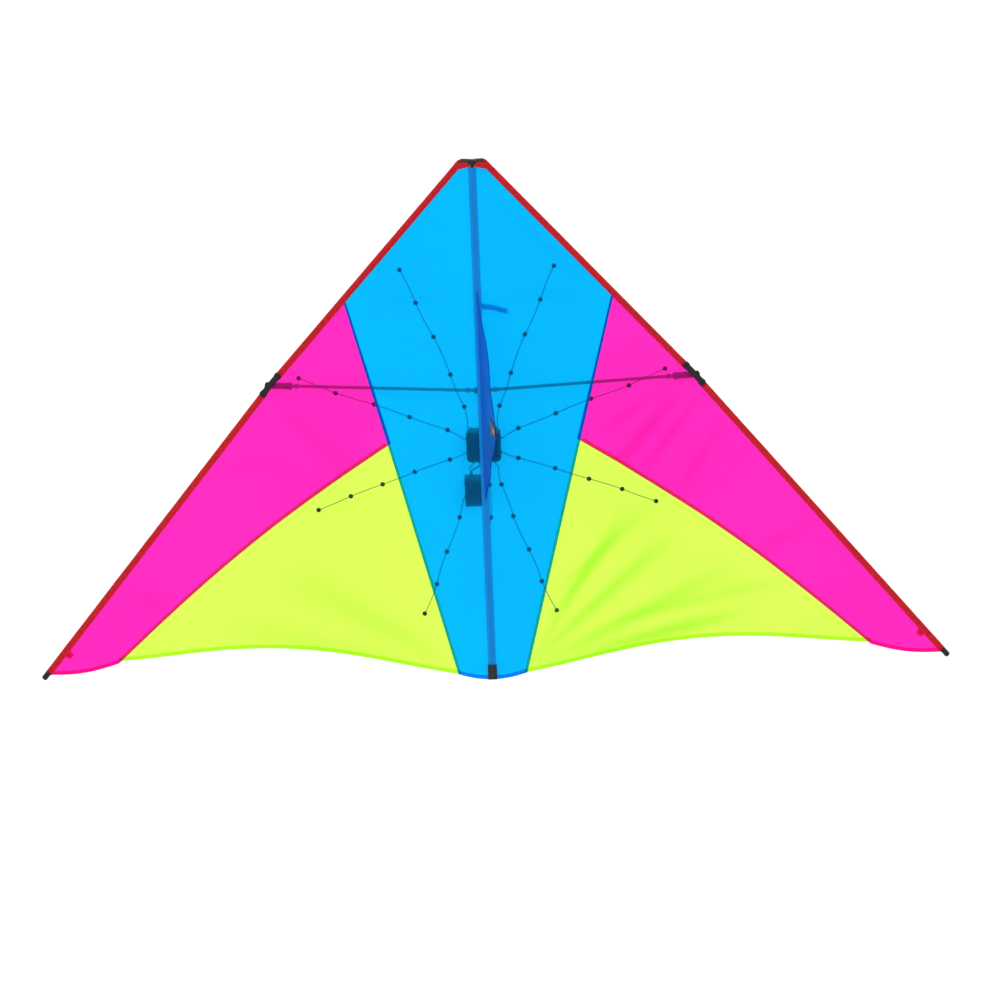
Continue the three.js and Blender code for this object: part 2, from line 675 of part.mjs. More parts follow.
// ---- Battery box: a tray for three cells with a cover that slides down off it ----
function batteryBox() {
  const group = new THREE.Group();
  const add = (name, geometry, material) => group.add(piece(name, geometry, material));
  group.position.set(pack.out, 0, -pack.down);
  const w = pack.width / 2;
  const h = pack.height / 2;
  const back = pack.front + pack.depth;
  const cavity = { side: w - pack.wall - railDepth, floor: pack.front + pack.wall, up: h - pack.endWall };
  const lidFront = back - packLid - pack.wall;
  const lidHalf = w - pack.wall;
  const knobDown = 12; // the switch's middle, above the box's middle
  const slotTop = knobDown + switchKnob.slot / 2;
  const slotLow = knobDown - switchKnob.slot / 2;
  const switchBack = cavity.floor + 4.4;
  const slotFront = cavity.floor + 1.2;
  add(
    "battery_case",
    cut(
      block([-w, pack.front, -h], [w, back, h]),
      block([-cavity.side, cavity.floor, -cavity.up], [cavity.side, back + 1, cavity.up]),
      block([-lidHalf - gap, lidFront - gap, -h - 1], [lidHalf + gap, lidFront + packLid + gap, cavity.up + 1]),
      block([-cavity.side, lidFront - gap, -h - 1], [cavity.side, back + 1, -cavity.up + 1]),
      block([-w - 1, slotFront, slotLow], [-cavity.side + 1, switchBack + gap, slotTop]),
    ),
    finish(colours.black, 0.5),
  );
  add(
    "battery_cover",
    joined(
      block([-lidHalf, lidFront, -h], [lidHalf, lidFront + packLid, cavity.up]),
      block([-cavity.side + 2 * gap, lidFront + 0.5, -h], [cavity.side - 2 * gap, back, cavity.up - gap]),
    ),
    finish(colours.black, 0.5),
  );
  const knobHalf = switchKnob.height / 2;
  const knobRest = slotTop - gap - knobHalf;
  add(
    "power_switch",
    block(
      [-w - switchKnob.proud, slotFront + gap, knobRest - knobHalf],
      [-cavity.side - gap, switchBack, knobRest + knobHalf],
    ),
    finish(colours.steel, 0.5),
  );
  const cellY = (cavity.floor + lidFront) / 2;
  for (const place of [-1, 0, 1]) {
    const up = place === 0 ? -1 : 1;
    const body = cell.length / 2;
    const nub = new THREE.Vector3(place * cellPitch, cellY, up * (body + cell.nubLength));
    const top = new THREE.Vector3(place * cellPitch, cellY, up * body);
    const low = new THREE.Vector3(place * cellPitch, cellY, -up * body);
    add(
      `battery_cell_${place + 2}`,
      joined(rod(low, top, cell.radius, 14), rod(top.clone().setZ(up * (body - 1)), nub, cell.nub, 8)),
      finish(colours.steel, 0.4, 0.6),
    );
  }
  const plateLow = cavity.up - gap - contactThickness;
  add(
    "battery_contact_plate",
    block(
      [-cavity.side + 2 * gap, cavity.floor + gap, -plateLow - contactThickness],
      [cavity.side - 2 * gap, lidFront - 2 * gap, -plateLow],
    ),
    finish(colours.steel, 0.35, 1),
  );
  const padLow = Math.max(-w + 3, -pack.out - pocketHalfWidth);
  add(
    "battery_pad",
    block([padLow, pocketBack() + gap, -h + 6], [w - 2, pack.front - gap, h - 6]),
    finish(colours.black, 1),
  );
  return group;
}

// Lead from the battery box's top up to the controller's lower edge.
function batteryLead() {
  const boxTop = -pack.down + pack.height / 2;
  const hubFoot = -hub.down - hub.height / 2;
  const start = new THREE.Vector3(pack.out - 6, pack.front + pack.depth / 2, boxTop + gap);
  const end = new THREE.Vector3(-8, hub.front + hub.depth / 2, hubFoot - gap);
  const middle = (boxTop + hubFoot) / 2;
  const route = [
    start,
    new THREE.Vector3(start.x, start.y + 1, boxTop + 8),
    new THREE.Vector3((start.x + end.x) / 2, (start.y + end.y) / 2 + 2, middle),
    new THREE.Vector3(end.x, end.y + 1, hubFoot - 8),
    end,
  ];
  return piece("battery_lead", tube(route, leadRadius, 8, 14), finish(colours.wire, 0.5));
}

// ---- Assembly ----
const airframe = new THREE.Group();
const leftWing = wing("left");
leftWing.scale.x = -1;
airframe.add(spine(), keel(), wing("right"), leftWing, controller(), batteryBox(), batteryLead());

const kite = new THREE.Group();
const middle = new THREE.Box3().setFromObject(airframe, true).getCenter(new THREE.Vector3());
airframe.position.copy(middle).negate();
kite.add(airframe);

export default kite;
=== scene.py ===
"""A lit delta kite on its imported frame: ripstop panels, bound edges, rods, fittings, boxes and lamps."""
import json
import math

import bpy
from mathutils import Matrix, Vector, noise
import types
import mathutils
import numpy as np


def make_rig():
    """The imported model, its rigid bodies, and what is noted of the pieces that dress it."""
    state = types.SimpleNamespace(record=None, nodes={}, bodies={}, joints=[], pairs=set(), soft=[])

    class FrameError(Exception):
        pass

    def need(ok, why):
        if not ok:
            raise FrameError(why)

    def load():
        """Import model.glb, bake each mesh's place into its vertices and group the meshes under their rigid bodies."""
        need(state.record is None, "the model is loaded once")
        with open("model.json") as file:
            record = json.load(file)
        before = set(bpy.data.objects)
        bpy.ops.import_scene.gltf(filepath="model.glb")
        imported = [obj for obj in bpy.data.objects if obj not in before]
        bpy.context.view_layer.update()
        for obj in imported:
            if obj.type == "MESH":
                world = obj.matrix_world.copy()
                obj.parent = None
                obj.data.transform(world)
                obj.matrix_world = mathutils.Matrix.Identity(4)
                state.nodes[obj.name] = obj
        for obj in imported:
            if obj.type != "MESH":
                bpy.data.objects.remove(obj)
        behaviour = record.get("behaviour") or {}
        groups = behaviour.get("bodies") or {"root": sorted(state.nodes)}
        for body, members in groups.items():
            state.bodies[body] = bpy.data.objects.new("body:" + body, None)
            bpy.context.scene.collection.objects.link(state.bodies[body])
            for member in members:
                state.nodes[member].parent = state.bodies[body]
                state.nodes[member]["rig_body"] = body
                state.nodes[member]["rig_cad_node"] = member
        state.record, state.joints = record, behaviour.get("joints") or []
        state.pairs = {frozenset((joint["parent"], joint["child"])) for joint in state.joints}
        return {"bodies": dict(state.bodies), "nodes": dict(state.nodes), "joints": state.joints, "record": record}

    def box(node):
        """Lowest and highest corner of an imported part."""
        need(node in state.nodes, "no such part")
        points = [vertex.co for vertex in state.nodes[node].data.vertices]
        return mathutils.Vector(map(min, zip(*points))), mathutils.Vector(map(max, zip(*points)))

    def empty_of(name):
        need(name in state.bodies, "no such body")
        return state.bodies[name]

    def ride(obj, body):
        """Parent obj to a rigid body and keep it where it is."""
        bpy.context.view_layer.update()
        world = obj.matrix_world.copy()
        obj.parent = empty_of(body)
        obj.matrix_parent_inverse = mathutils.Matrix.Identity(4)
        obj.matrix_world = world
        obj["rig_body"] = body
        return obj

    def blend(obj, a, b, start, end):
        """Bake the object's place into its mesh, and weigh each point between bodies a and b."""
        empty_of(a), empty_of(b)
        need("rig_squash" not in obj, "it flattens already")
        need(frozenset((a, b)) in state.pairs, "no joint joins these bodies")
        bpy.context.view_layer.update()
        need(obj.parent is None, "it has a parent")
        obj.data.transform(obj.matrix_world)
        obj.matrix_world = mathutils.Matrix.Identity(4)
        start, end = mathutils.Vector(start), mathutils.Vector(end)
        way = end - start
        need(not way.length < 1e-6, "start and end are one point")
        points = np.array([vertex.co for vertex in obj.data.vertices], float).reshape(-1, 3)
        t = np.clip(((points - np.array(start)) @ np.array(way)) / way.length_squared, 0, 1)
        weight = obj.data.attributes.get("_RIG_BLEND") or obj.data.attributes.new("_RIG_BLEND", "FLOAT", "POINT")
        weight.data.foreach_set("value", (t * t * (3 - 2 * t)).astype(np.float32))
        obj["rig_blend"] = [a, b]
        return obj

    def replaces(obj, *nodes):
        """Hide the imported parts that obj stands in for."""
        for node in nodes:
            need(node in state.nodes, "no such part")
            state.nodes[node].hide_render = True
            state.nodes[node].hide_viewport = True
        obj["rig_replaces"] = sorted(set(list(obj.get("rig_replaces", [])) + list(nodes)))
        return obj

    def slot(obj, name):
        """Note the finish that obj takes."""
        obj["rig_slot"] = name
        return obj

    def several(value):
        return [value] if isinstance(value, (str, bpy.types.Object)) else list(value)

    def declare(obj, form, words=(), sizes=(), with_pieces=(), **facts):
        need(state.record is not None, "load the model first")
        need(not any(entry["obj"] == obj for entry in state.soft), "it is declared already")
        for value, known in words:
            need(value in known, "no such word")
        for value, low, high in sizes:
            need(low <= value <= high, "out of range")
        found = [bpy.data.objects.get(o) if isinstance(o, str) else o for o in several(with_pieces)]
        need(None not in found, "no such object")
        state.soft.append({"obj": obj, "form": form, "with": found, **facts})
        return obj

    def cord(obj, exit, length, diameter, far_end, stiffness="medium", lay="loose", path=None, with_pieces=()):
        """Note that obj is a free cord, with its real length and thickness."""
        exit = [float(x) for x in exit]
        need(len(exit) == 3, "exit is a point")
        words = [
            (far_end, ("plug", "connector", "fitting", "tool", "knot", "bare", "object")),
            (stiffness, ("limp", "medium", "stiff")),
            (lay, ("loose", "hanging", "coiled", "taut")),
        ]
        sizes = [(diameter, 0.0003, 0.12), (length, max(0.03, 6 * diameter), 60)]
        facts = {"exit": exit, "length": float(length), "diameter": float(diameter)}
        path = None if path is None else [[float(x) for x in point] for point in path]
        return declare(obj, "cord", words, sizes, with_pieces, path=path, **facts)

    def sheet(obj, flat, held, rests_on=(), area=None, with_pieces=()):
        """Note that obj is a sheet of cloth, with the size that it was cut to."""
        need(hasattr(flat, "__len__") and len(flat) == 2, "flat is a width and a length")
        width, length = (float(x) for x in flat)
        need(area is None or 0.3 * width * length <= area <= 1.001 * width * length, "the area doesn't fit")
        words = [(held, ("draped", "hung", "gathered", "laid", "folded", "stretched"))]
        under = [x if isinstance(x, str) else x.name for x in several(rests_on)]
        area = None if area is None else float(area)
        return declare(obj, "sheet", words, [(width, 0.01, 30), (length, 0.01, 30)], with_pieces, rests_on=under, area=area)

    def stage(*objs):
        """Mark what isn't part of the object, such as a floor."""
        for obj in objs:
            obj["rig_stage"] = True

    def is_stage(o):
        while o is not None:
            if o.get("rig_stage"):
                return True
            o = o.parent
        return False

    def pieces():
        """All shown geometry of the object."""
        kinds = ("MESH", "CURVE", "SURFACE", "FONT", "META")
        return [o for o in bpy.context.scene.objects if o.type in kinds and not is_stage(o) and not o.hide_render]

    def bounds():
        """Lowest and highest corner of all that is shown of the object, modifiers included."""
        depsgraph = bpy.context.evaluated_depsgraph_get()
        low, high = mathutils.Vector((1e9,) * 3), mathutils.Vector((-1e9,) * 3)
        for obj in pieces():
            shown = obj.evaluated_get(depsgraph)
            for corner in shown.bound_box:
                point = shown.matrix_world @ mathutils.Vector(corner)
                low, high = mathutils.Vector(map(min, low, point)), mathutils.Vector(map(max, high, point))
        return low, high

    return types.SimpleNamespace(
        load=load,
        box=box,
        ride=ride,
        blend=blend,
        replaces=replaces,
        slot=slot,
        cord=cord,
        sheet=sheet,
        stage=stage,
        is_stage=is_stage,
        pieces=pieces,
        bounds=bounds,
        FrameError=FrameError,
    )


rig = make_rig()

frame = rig.load()
cad_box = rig.bounds()
MM = 0.001
SIDES = (("right", 1), ("left", -1))

# ---- Sizes, in millimetres on the kite's plan: out from the spine, and down from the nose ----
DIHEDRAL = math.radians(8)
NOSE, ELBOW, TIP = (20.4, 4.8), (371.4, 412.8), (794.5, 953.8)
CENTRE_FOOT, OUTER_FOOT = (58.0, 938.0), (663.0, 926.0)
CORNER_DOWN, TRIPLE_DOWN = 258.0, 517.0
SEAM_BOW, SCALLOP, SAIL_FOOT, BILLOW = 16.0, 31.0, 945.0, 22.0
POCKET_HALF, POCKET_DEPTH = 8.0, 4.2
POCKET_EDGE = 6.6  # the sewn pocket draws in to this half width
ROD_RADIUS, SPINE_RADIUS = 2.75, 3.0
SLEEVE_EDGE = 6.1  # the sail's edge, inward of a leading edge spar's line
TUCK = 2.3  # how far the sail runs on into the sleeve
SEAM_HALF = 2.6  # half the width over which two cloths are lapped
CLOTH = 0.3
TEE_HALF, TEE_STEM, TEE_BEHIND, TEE_DROP = 25.0, 38.0, 9.0, 4.0
JOINER_BEHIND, JOINER_DOWN, JOINER_HALF = 18.0, 424.0, 13.0
KEEL_TOP, KEEL_FOOT, KEEL_APEX, KEEL_FORWARD = 237.0, 618.0, 455.0, 150.0
KEEL_HINGE = 4.5
EYELET_INSET, EYELET_RADIUS = 13.0, 4.5
TIE_LENGTH, TIE_WIDTH, TIE_DOWN = 50.0, 9.0, 266.0
NOSE_STRAP, TAIL_STRAP = 9.0, 27.0  # how far each strap lies along the pocket
FLOOR = -2.4  # metres
PATCH_LENGTH, PATCH_FRONT_HALF, PATCH_BACK_HALF = 44.0, 8.0, 15.0

# ---- Widths of the cloth and tape as cut, in millimetres ----
TAPE_CUT = 30.0  # edge tape before it is folded round a rod
POCKET_CUT = 32.7
WEBBING_CUT = 16.0
TAB_CUT = 18.0

rod_low, rod_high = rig.box("spine_rod")
SPINE_Y = (rod_low.y + rod_high.y) / 2 / MM
NOSE_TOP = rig.box("nose_webbing")[1].z / MM
eye_low, eye_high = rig.box("tow_eyelet")
EYE = (eye_low + eye_high) / 2
KEEL_LEAN = math.atan2(EYE.x / MM, SPINE_Y - KEEL_HINGE - EYE.y / MM)


# ---- Places ----
def mix(a, b, share):
    return tuple(p + (q - p) * share for p, q in zip(a, b))


def smooth(low, high, value):
    share = min(max((value - low) / (high - low), 0.0), 1.0)
    return share * share * (3 - 2 * share)


def spar_place(start, end, share, inward):
    """A place beside a leading edge spar, inward of its line."""
    along = Vector((end[0] - start[0], end[1] - start[1])).normalized()
    out, down = mix(start, end, share)
    return (out - along.y * inward, down + along.x * inward)


def leading_edge_out(down):
    start, end = (NOSE, ELBOW) if down < ELBOW[1] else (ELBOW, TIP)
    return start[0] + (end[0] - start[0]) * (down - start[1]) / (end[1] - start[1])


def billow(out, down):
    span = max(leading_edge_out(down) - POCKET_HALF, 1.0)
    share = min(max((out - POCKET_HALF) / span, 0.0), 1.0)
    return BILLOW * (down / SAIL_FOOT) ** 2 * math.sin(math.pi * share)


def on_plane(out, down, behind=0.0, side=1):
    """A point of a wing's plane, in metres in the row frame."""
    back = SPINE_Y + abs(out) * math.tan(DIHEDRAL) + behind
    return Vector((side * out, back, NOSE_TOP - down)) * MM


def on_sail(out, down, behind=0.0, side=1):
    return on_plane(out, down, behind + billow(abs(out), down), side)


def on_spine(out, down, behind=0.0, side=1):
    """A point by its distance out from, down and behind the spine rod's middle line."""
    return Vector((side * out, SPINE_Y + behind, NOSE_TOP - down)) * MM


CORNER = spar_place(NOSE, ELBOW, (CORNER_DOWN - NOSE[1]) / (ELBOW[1] - NOSE[1]), SLEEVE_EDGE)


def seam_place(down):
    """The blue panel's seam with the pink and yellow ones."""
    return mix(CORNER, CENTRE_FOOT, (down - CORNER[1]) / (CENTRE_FOOT[1] - CORNER[1]))


TRIPLE = seam_place(TRIPLE_DOWN)


def outer_seam(share, aside=0.0):
    """The pink and yellow panels' seam, bowed towards the leading edge."""
    along = Vector((OUTER_FOOT[0] - TRIPLE[0], OUTER_FOOT[1] - TRIPLE[1])).normalized()
    bow = SEAM_BOW * math.sin(math.pi * min(max(share, 0.0), 1.0)) + aside
    out, down = mix(TRIPLE, OUTER_FOOT, share)
    return (out + along.y * bow, down - along.x * bow)


# ---- The way each cloth puckers and creases ----
def ridge(place, start, end, width, height):
    """A soft crease between two places, dying out at its ends."""
    along = Vector((end[0] - start[0], end[1] - start[1]))
    from_start = Vector((place[0] - start[0], place[1] - start[1]))
    share = from_start.dot(along) / along.length_squared
    if not 0 < share < 1:
        return 0.0
    off = (from_start - along * share).length
    spread = width * (0.6 + 0.8 * share)
    return height * math.exp(-((off / spread) ** 2)) * math.sin(math.pi * share) ** 0.7


CREASES = {
    ("sail_rear", 1): (
        ((64, 925), (330, 700), 11, 2.6), ((66, 920), (250, 640), 8, -2.2), ((70, 930), (430, 772), 12, 2.4),
        ((75, 934), (470, 850), 10, -2.0), ((110, 800), (300, 640), 9, 1.8), ((200, 860), (520, 800), 9, 1.6),
        ((150, 905), (420, 860), 9, 1.5), ((90, 850), (230, 700), 6, -1.6),
    ),
    ("sail_outer", 1): (
        ((350, 440), (205, 600), 12, 2.4), ((380, 450), (265, 600), 9, -2.0),
        ((330, 430), (190, 520), 8, 1.6), ((420, 500), (330, 640), 10, 1.5),
        ((560, 700), (470, 745), 10, 1.2),
    ),
    ("sail_outer", -1): (((360, 450), (215, 585), 16, 1.2), ((640, 800), (560, 820), 14, 0.9)),
    ("sail_rear", -1): (((64, 925), (360, 760), 22, 1.3), ((90, 930), (480, 860), 18, -1.0)),
    ("sail_centre", 1): (((40, 250), (200, 262), 16, 0.8), ((20, 60), (190, 240), 9, -0.8)),
    ("sail_centre", -1): (((40, 250), (200, 262), 16, 0.7),),
}


def crease_shade_share(cloth, side, place):
    """How much painted crease shade a cloth takes at a place, from 0 to 1, from how sharply it is folded there."""
    folds = (ridge(place, *fold) for fold in CREASES.get((cloth, side), ()))
    return min(sum(abs(height) for height in folds) / 3.2, 1.0)


def pucker(side, place):
    """How far a wing's cloth stands back from its even shape at a place, in millimetres."""
    out, down = place
    seed = Vector((out * side * 0.011, down * 0.011, 3.7))
    loose = smooth(60, 700, down) * smooth(8, 60, out)
    depth = 1.5 * noise.noise(seed) * loose + 0.35 * noise.noise(seed * 4.1) * smooth(8, 30, out)
    for (_, wing_side), folds in CREASES.items():
        if wing_side == side:
            depth += sum(ridge(place, *fold) for fold in folds)
    return depth


# ---- Working with objects ----
def settle(obj, name):
    """Names a new object, puts its place into its mesh and leaves it at the origin."""
    obj.name = obj.data.name = name
    bpy.context.view_layer.update()
    if obj.type == "MESH":
        obj.data.transform(obj.matrix_world)
        obj.matrix_world = Matrix.Identity(4)
    return obj


def only(obj, *more):
    bpy.ops.object.select_all(action="DESELECT")
    for each in (obj, *more):
        each.select_set(True)
    bpy.context.view_layer.objects.active = obj


def apply_modifiers(obj):
    only(obj)
    for modifier in list(obj.modifiers):
        bpy.ops.object.modifier_apply(modifier=modifier.name)


def join(name, *parts):
    only(*parts)
    bpy.ops.object.join()
    return settle(bpy.context.view_layer.objects.active, name)


def paint(obj, *materials):
    obj.data.materials.clear()
    for material in materials:
        obj.data.materials.append(material)


def fitted(obj, material, body, slot, *nodes):
    """Paints a finished piece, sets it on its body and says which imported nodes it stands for."""
    paint(obj, material)
    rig.ride(obj, body)
    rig.slot(obj, slot)
    if nodes:
        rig.replaces(obj, *nodes)
    return obj


def cad_node(name):
    node = frame["nodes"][name]
    return node if isinstance(node, bpy.types.Object) else bpy.data.objects[name]


def smooth_faces(obj, angle=35):
    only(obj)
    bpy.ops.object.shade_smooth_by_angle(angle=math.radians(angle))


def bevel_all(obj, width, segments=3, limit=40):
    bevel = obj.modifiers.new("Edges", "BEVEL")
    bevel.width, bevel.segments = width * MM, segments
    bevel.limit_method, bevel.angle_limit = "ANGLE", math.radians(limit)
    bevel.harden_normals = False
    apply_modifiers(obj)


def turn_to(start, end):
    return (end - start).to_track_quat("Z", "Y")


def rod_between(name, start, end, radius, sides=24, bevel=0.5):
    """A round rod between two points in metres, its ends eased."""
    bpy.ops.mesh.primitive_cylinder_add(
        vertices=sides, radius=radius * MM, depth=(end - start).length, location=(start + end) / 2,
        rotation=turn_to(start, end).to_euler(),
    )
    obj = settle(bpy.context.object, name)
    if bevel:
        bevel_all(obj, bevel, 2)
    smooth_faces(obj)
    return obj


def block(name, low, high, bevel=0.6, segments=3):
    """A box by its corners in millimetres: (x, behind the spine, up from the nose)."""
    low, high = (Vector((x, SPINE_Y + y, NOSE_TOP + z)) * MM for x, y, z in (low, high))
    bpy.ops.mesh.primitive_cube_add(size=1, location=(low + high) / 2, scale=high - low)
    obj = settle(bpy.context.object, name)
    if bevel:
        bevel_all(obj, bevel, segments)
        smooth_faces(obj)
    return obj


def turned(name, profile, start, end, steps=28):
    """A shape turned about the line from start to end: profile is (radius, distance along) in millimetres."""
    mesh = bpy.data.meshes.new(name)
    mesh.from_pydata(
        [(radius * MM, 0, height * MM) for radius, height in profile],
        [(i, i + 1) for i in range(len(profile) - 1)],
        [],
    )
    obj = bpy.data.objects.new(name, mesh)
    bpy.context.collection.objects.link(obj)
    only(obj)
    bpy.ops.object.mode_set(mode="EDIT")
    bpy.ops.mesh.select_all(action="SELECT")
    bpy.ops.mesh.spin(steps=steps, angle=math.tau, center=(0, 0, 0), axis=(0, 0, 1))
    bpy.ops.mesh.select_all(action="SELECT")
    bpy.ops.mesh.remove_doubles(threshold=1e-6)
    bpy.ops.mesh.normals_make_consistent(inside=False)
    bpy.ops.object.mode_set(mode="OBJECT")
    obj.rotation_mode = "QUATERNION"
    obj.rotation_quaternion = turn_to(start, end)
    obj.location = start
    settle(obj, name)
    smooth_faces(obj)
    return obj


def sheet_mesh(name, columns, rows, point, uv, folded=None):
    """A grid of cloth: point, uv and folded take the shares across and along, from 0 to 1; folded gives each point's
    share of painted crease shade.
    """
    shares = [(c / columns, r / rows) for r in range(rows + 1) for c in range(columns + 1)]
    wide = columns + 1
    faces = [
        (r * wide + c, (r + 1) * wide + c, (r + 1) * wide + c + 1, r * wide + c + 1)
        for r in range(rows)
        for c in range(columns)
    ]
    mesh = bpy.data.meshes.new(name)
    mesh.from_pydata([point(*share) for share in shares], [], faces)
    layer = mesh.uv_layers.new(name="Cloth")
    places = [uv(*share) for share in shares]
    for loop in mesh.loops:
        layer.data[loop.index].uv = [v * MM for v in places[loop.vertex_index]]
    # folded is painted crease shade, kept as a point attribute that darkens the cloth's colour
    if folded:
        marks = mesh.attributes.new("CreaseShade", "FLOAT", "POINT")
        for mark, share in zip(marks.data, shares):
            mark.value = folded(*share)
    obj = bpy.data.objects.new(name, mesh)
    bpy.context.collection.objects.link(obj)
    return obj


def thicken(obj, thickness=CLOTH):
    solid = obj.modifiers.new("Cloth", "SOLIDIFY")
    solid.thickness, solid.offset = thickness * MM, 0.0
    apply_modifiers(obj)
    only(obj)
    bpy.ops.object.shade_smooth()
    return obj


def cut_area(obj, flat, digits):
    """A sheet's area in square metres, half of its two faces, and no more than the cloth it is cut from."""
    return round(min(sum(face.area for face in obj.data.polygons) / 2, flat[0] * flat[1]), digits)


def curve_line(name, points, radius, sides=2):
    """A round wire through points in metres."""
    data = bpy.data.curves.new(name, "CURVE")
    data.dimensions, data.bevel_depth, data.bevel_resolution = "3D", radius * MM, sides
    data.use_fill_caps = True
    spline = data.splines.new("POLY")
    spline.points.add(len(points) - 1)
    for made, point in zip(spline.points, points):
        made.co = (*point, 1.0)
    obj = bpy.data.objects.new(name, data)
    bpy.context.collection.objects.link(obj)
    return obj


def to_mesh(obj, name):
    only(obj)
    bpy.ops.object.convert(target="MESH")
    made = settle(bpy.context.object, name)
    bpy.ops.object.shade_smooth()
    return made


def spread(points, count):
    """Points evenly spaced along a line through the given points, with round bends."""
    fine = []
    for i in range(len(points) - 1):
        before = points[max(i - 1, 0)]
        after = points[min(i + 2, len(points) - 1)]
        a, b = points[i], points[i + 1]
        for k in range(12):
            t = k / 12
            fine.append(
                0.5 * (2 * a + (b - before) * t + (2 * before - 5 * a + 4 * b - after) * t * t
                       + (3 * a - before - 3 * b + after) * t ** 3)
            )
    fine.append(points[-1])
    lengths = [0.0]
    for p, q in zip(fine, fine[1:]):
        lengths.append(lengths[-1] + (q - p).length)
    made, at = [], 0
    for k in range(count):
        want = lengths[-1] * k / (count - 1)
        while at < len(fine) - 2 and lengths[at + 1] < want:
            at += 1
        span = lengths[at + 1] - lengths[at]
        made.append(fine[at].lerp(fine[at + 1], (want - lengths[at]) / span if span else 0.0))
    return made


# ---- Materials ----
def srgb(red, green, blue):
    """A linear colour from the 0 to 255 values that a dyer's card gives."""
    values = [v / 255 for v in (red, green, blue)]
    return tuple(v / 12.92 if v <= 0.04045 else ((v + 0.055) / 1.055) ** 2.4 for v in values)


class Shader:
    """A material's node tree with short ways to add and link nodes."""

    def __init__(self, name):
        self.material = bpy.data.materials.new(name)
        self.material.use_nodes = True
        self.tree = self.material.node_tree
        self.tree.nodes.clear()
        self.output = self.add("ShaderNodeOutputMaterial")

    def add(self, kind, **settings):
        node = self.tree.nodes.new(kind)
        for key, value in settings.items():
            setattr(node, key, value)
        return node

    def link(self, source, target):
        self.tree.links.new(source, target)

    def feed(self, socket, value):
        if isinstance(value, bpy.types.NodeSocket):
            self.link(value, socket)
        elif socket.type == "RGBA" and len(value) == 3:
            socket.default_value = (*value, 1.0)
        else:
            socket.default_value = value

    def place(self, kind="Object"):
        return self.add("ShaderNodeTexCoord").outputs[kind]

    def cloth_map(self, scale=(1, 1, 1), turn=0.0):
        mapping = self.add("ShaderNodeMapping")
        self.link(self.add("ShaderNodeUVMap", uv_map="Cloth").outputs[0], mapping.inputs["Vector"])
        mapping.inputs["Scale"].default_value = scale
        mapping.inputs["Rotation"].default_value = (0, 0, turn)
        return mapping.outputs[0]

    def noise(self, scale, detail=3.0, vector=None, roughness=0.5):
        node = self.add("ShaderNodeTexNoise")
        node.inputs["Scale"].default_value = scale
        node.inputs["Detail"].default_value = detail
        node.inputs["Roughness"].default_value = roughness
        self.link(vector or self.place(), node.inputs["Vector"])
        return node.outputs[0]

    def wave(self, period, direction, vector, sharp=1.0):
        """Parallel threads at a period in metres, as a height from 0 to 1."""
        node = self.add("ShaderNodeTexWave", bands_direction=direction)
        node.inputs["Scale"].default_value = math.tau / 20 / period
        self.link(vector, node.inputs["Vector"])
        return self.maths("POWER", node.outputs[1], sharp) if sharp != 1.0 else node.outputs[1]

    def maths(self, operation, a, b=0.0):
        node = self.add("ShaderNodeMath", operation=operation)
        self.feed(node.inputs[0], a)
        self.feed(node.inputs[1], b)
        return node.outputs[0]

    def span(self, value, low, high, start=0.0, end=1.0):
        node = self.add("ShaderNodeMapRange")
        for i, v in enumerate((value, low, high, start, end)):
            self.feed(node.inputs[i], v)
        return node.outputs[0]

    def blend(self, share, a, b, kind="MIX"):
        node = self.add("ShaderNodeMix", data_type="RGBA", blend_type=kind)
        self.feed(node.inputs[0], share)
        self.feed(node.inputs[6], a)
        self.feed(node.inputs[7], b)
        return node.outputs[2]

    def bump(self, height, strength, distance, normal=None):
        node = self.add("ShaderNodeBump")
        node.inputs["Strength"].default_value = strength
        node.inputs["Distance"].default_value = distance
        self.link(height, node.inputs["Height"])
        if normal:
            self.link(normal, node.inputs["Normal"])
        return node.outputs[0]

    def principled(self, colour, roughness, normal=None, **sockets):
        node = self.add("ShaderNodeBsdfPrincipled")
        self.feed(node.inputs["Base Color"], colour)
        self.feed(node.inputs["Roughness"], roughness)
        for name, value in sockets.items():
            node.inputs[name.replace("_", " ")].default_value = value
        if normal:
            self.link(normal, node.inputs["Normal"])
        return node.outputs[0]

    def finish(self, surface):
        self.link(surface, self.output.inputs["Surface"])
        return self.material


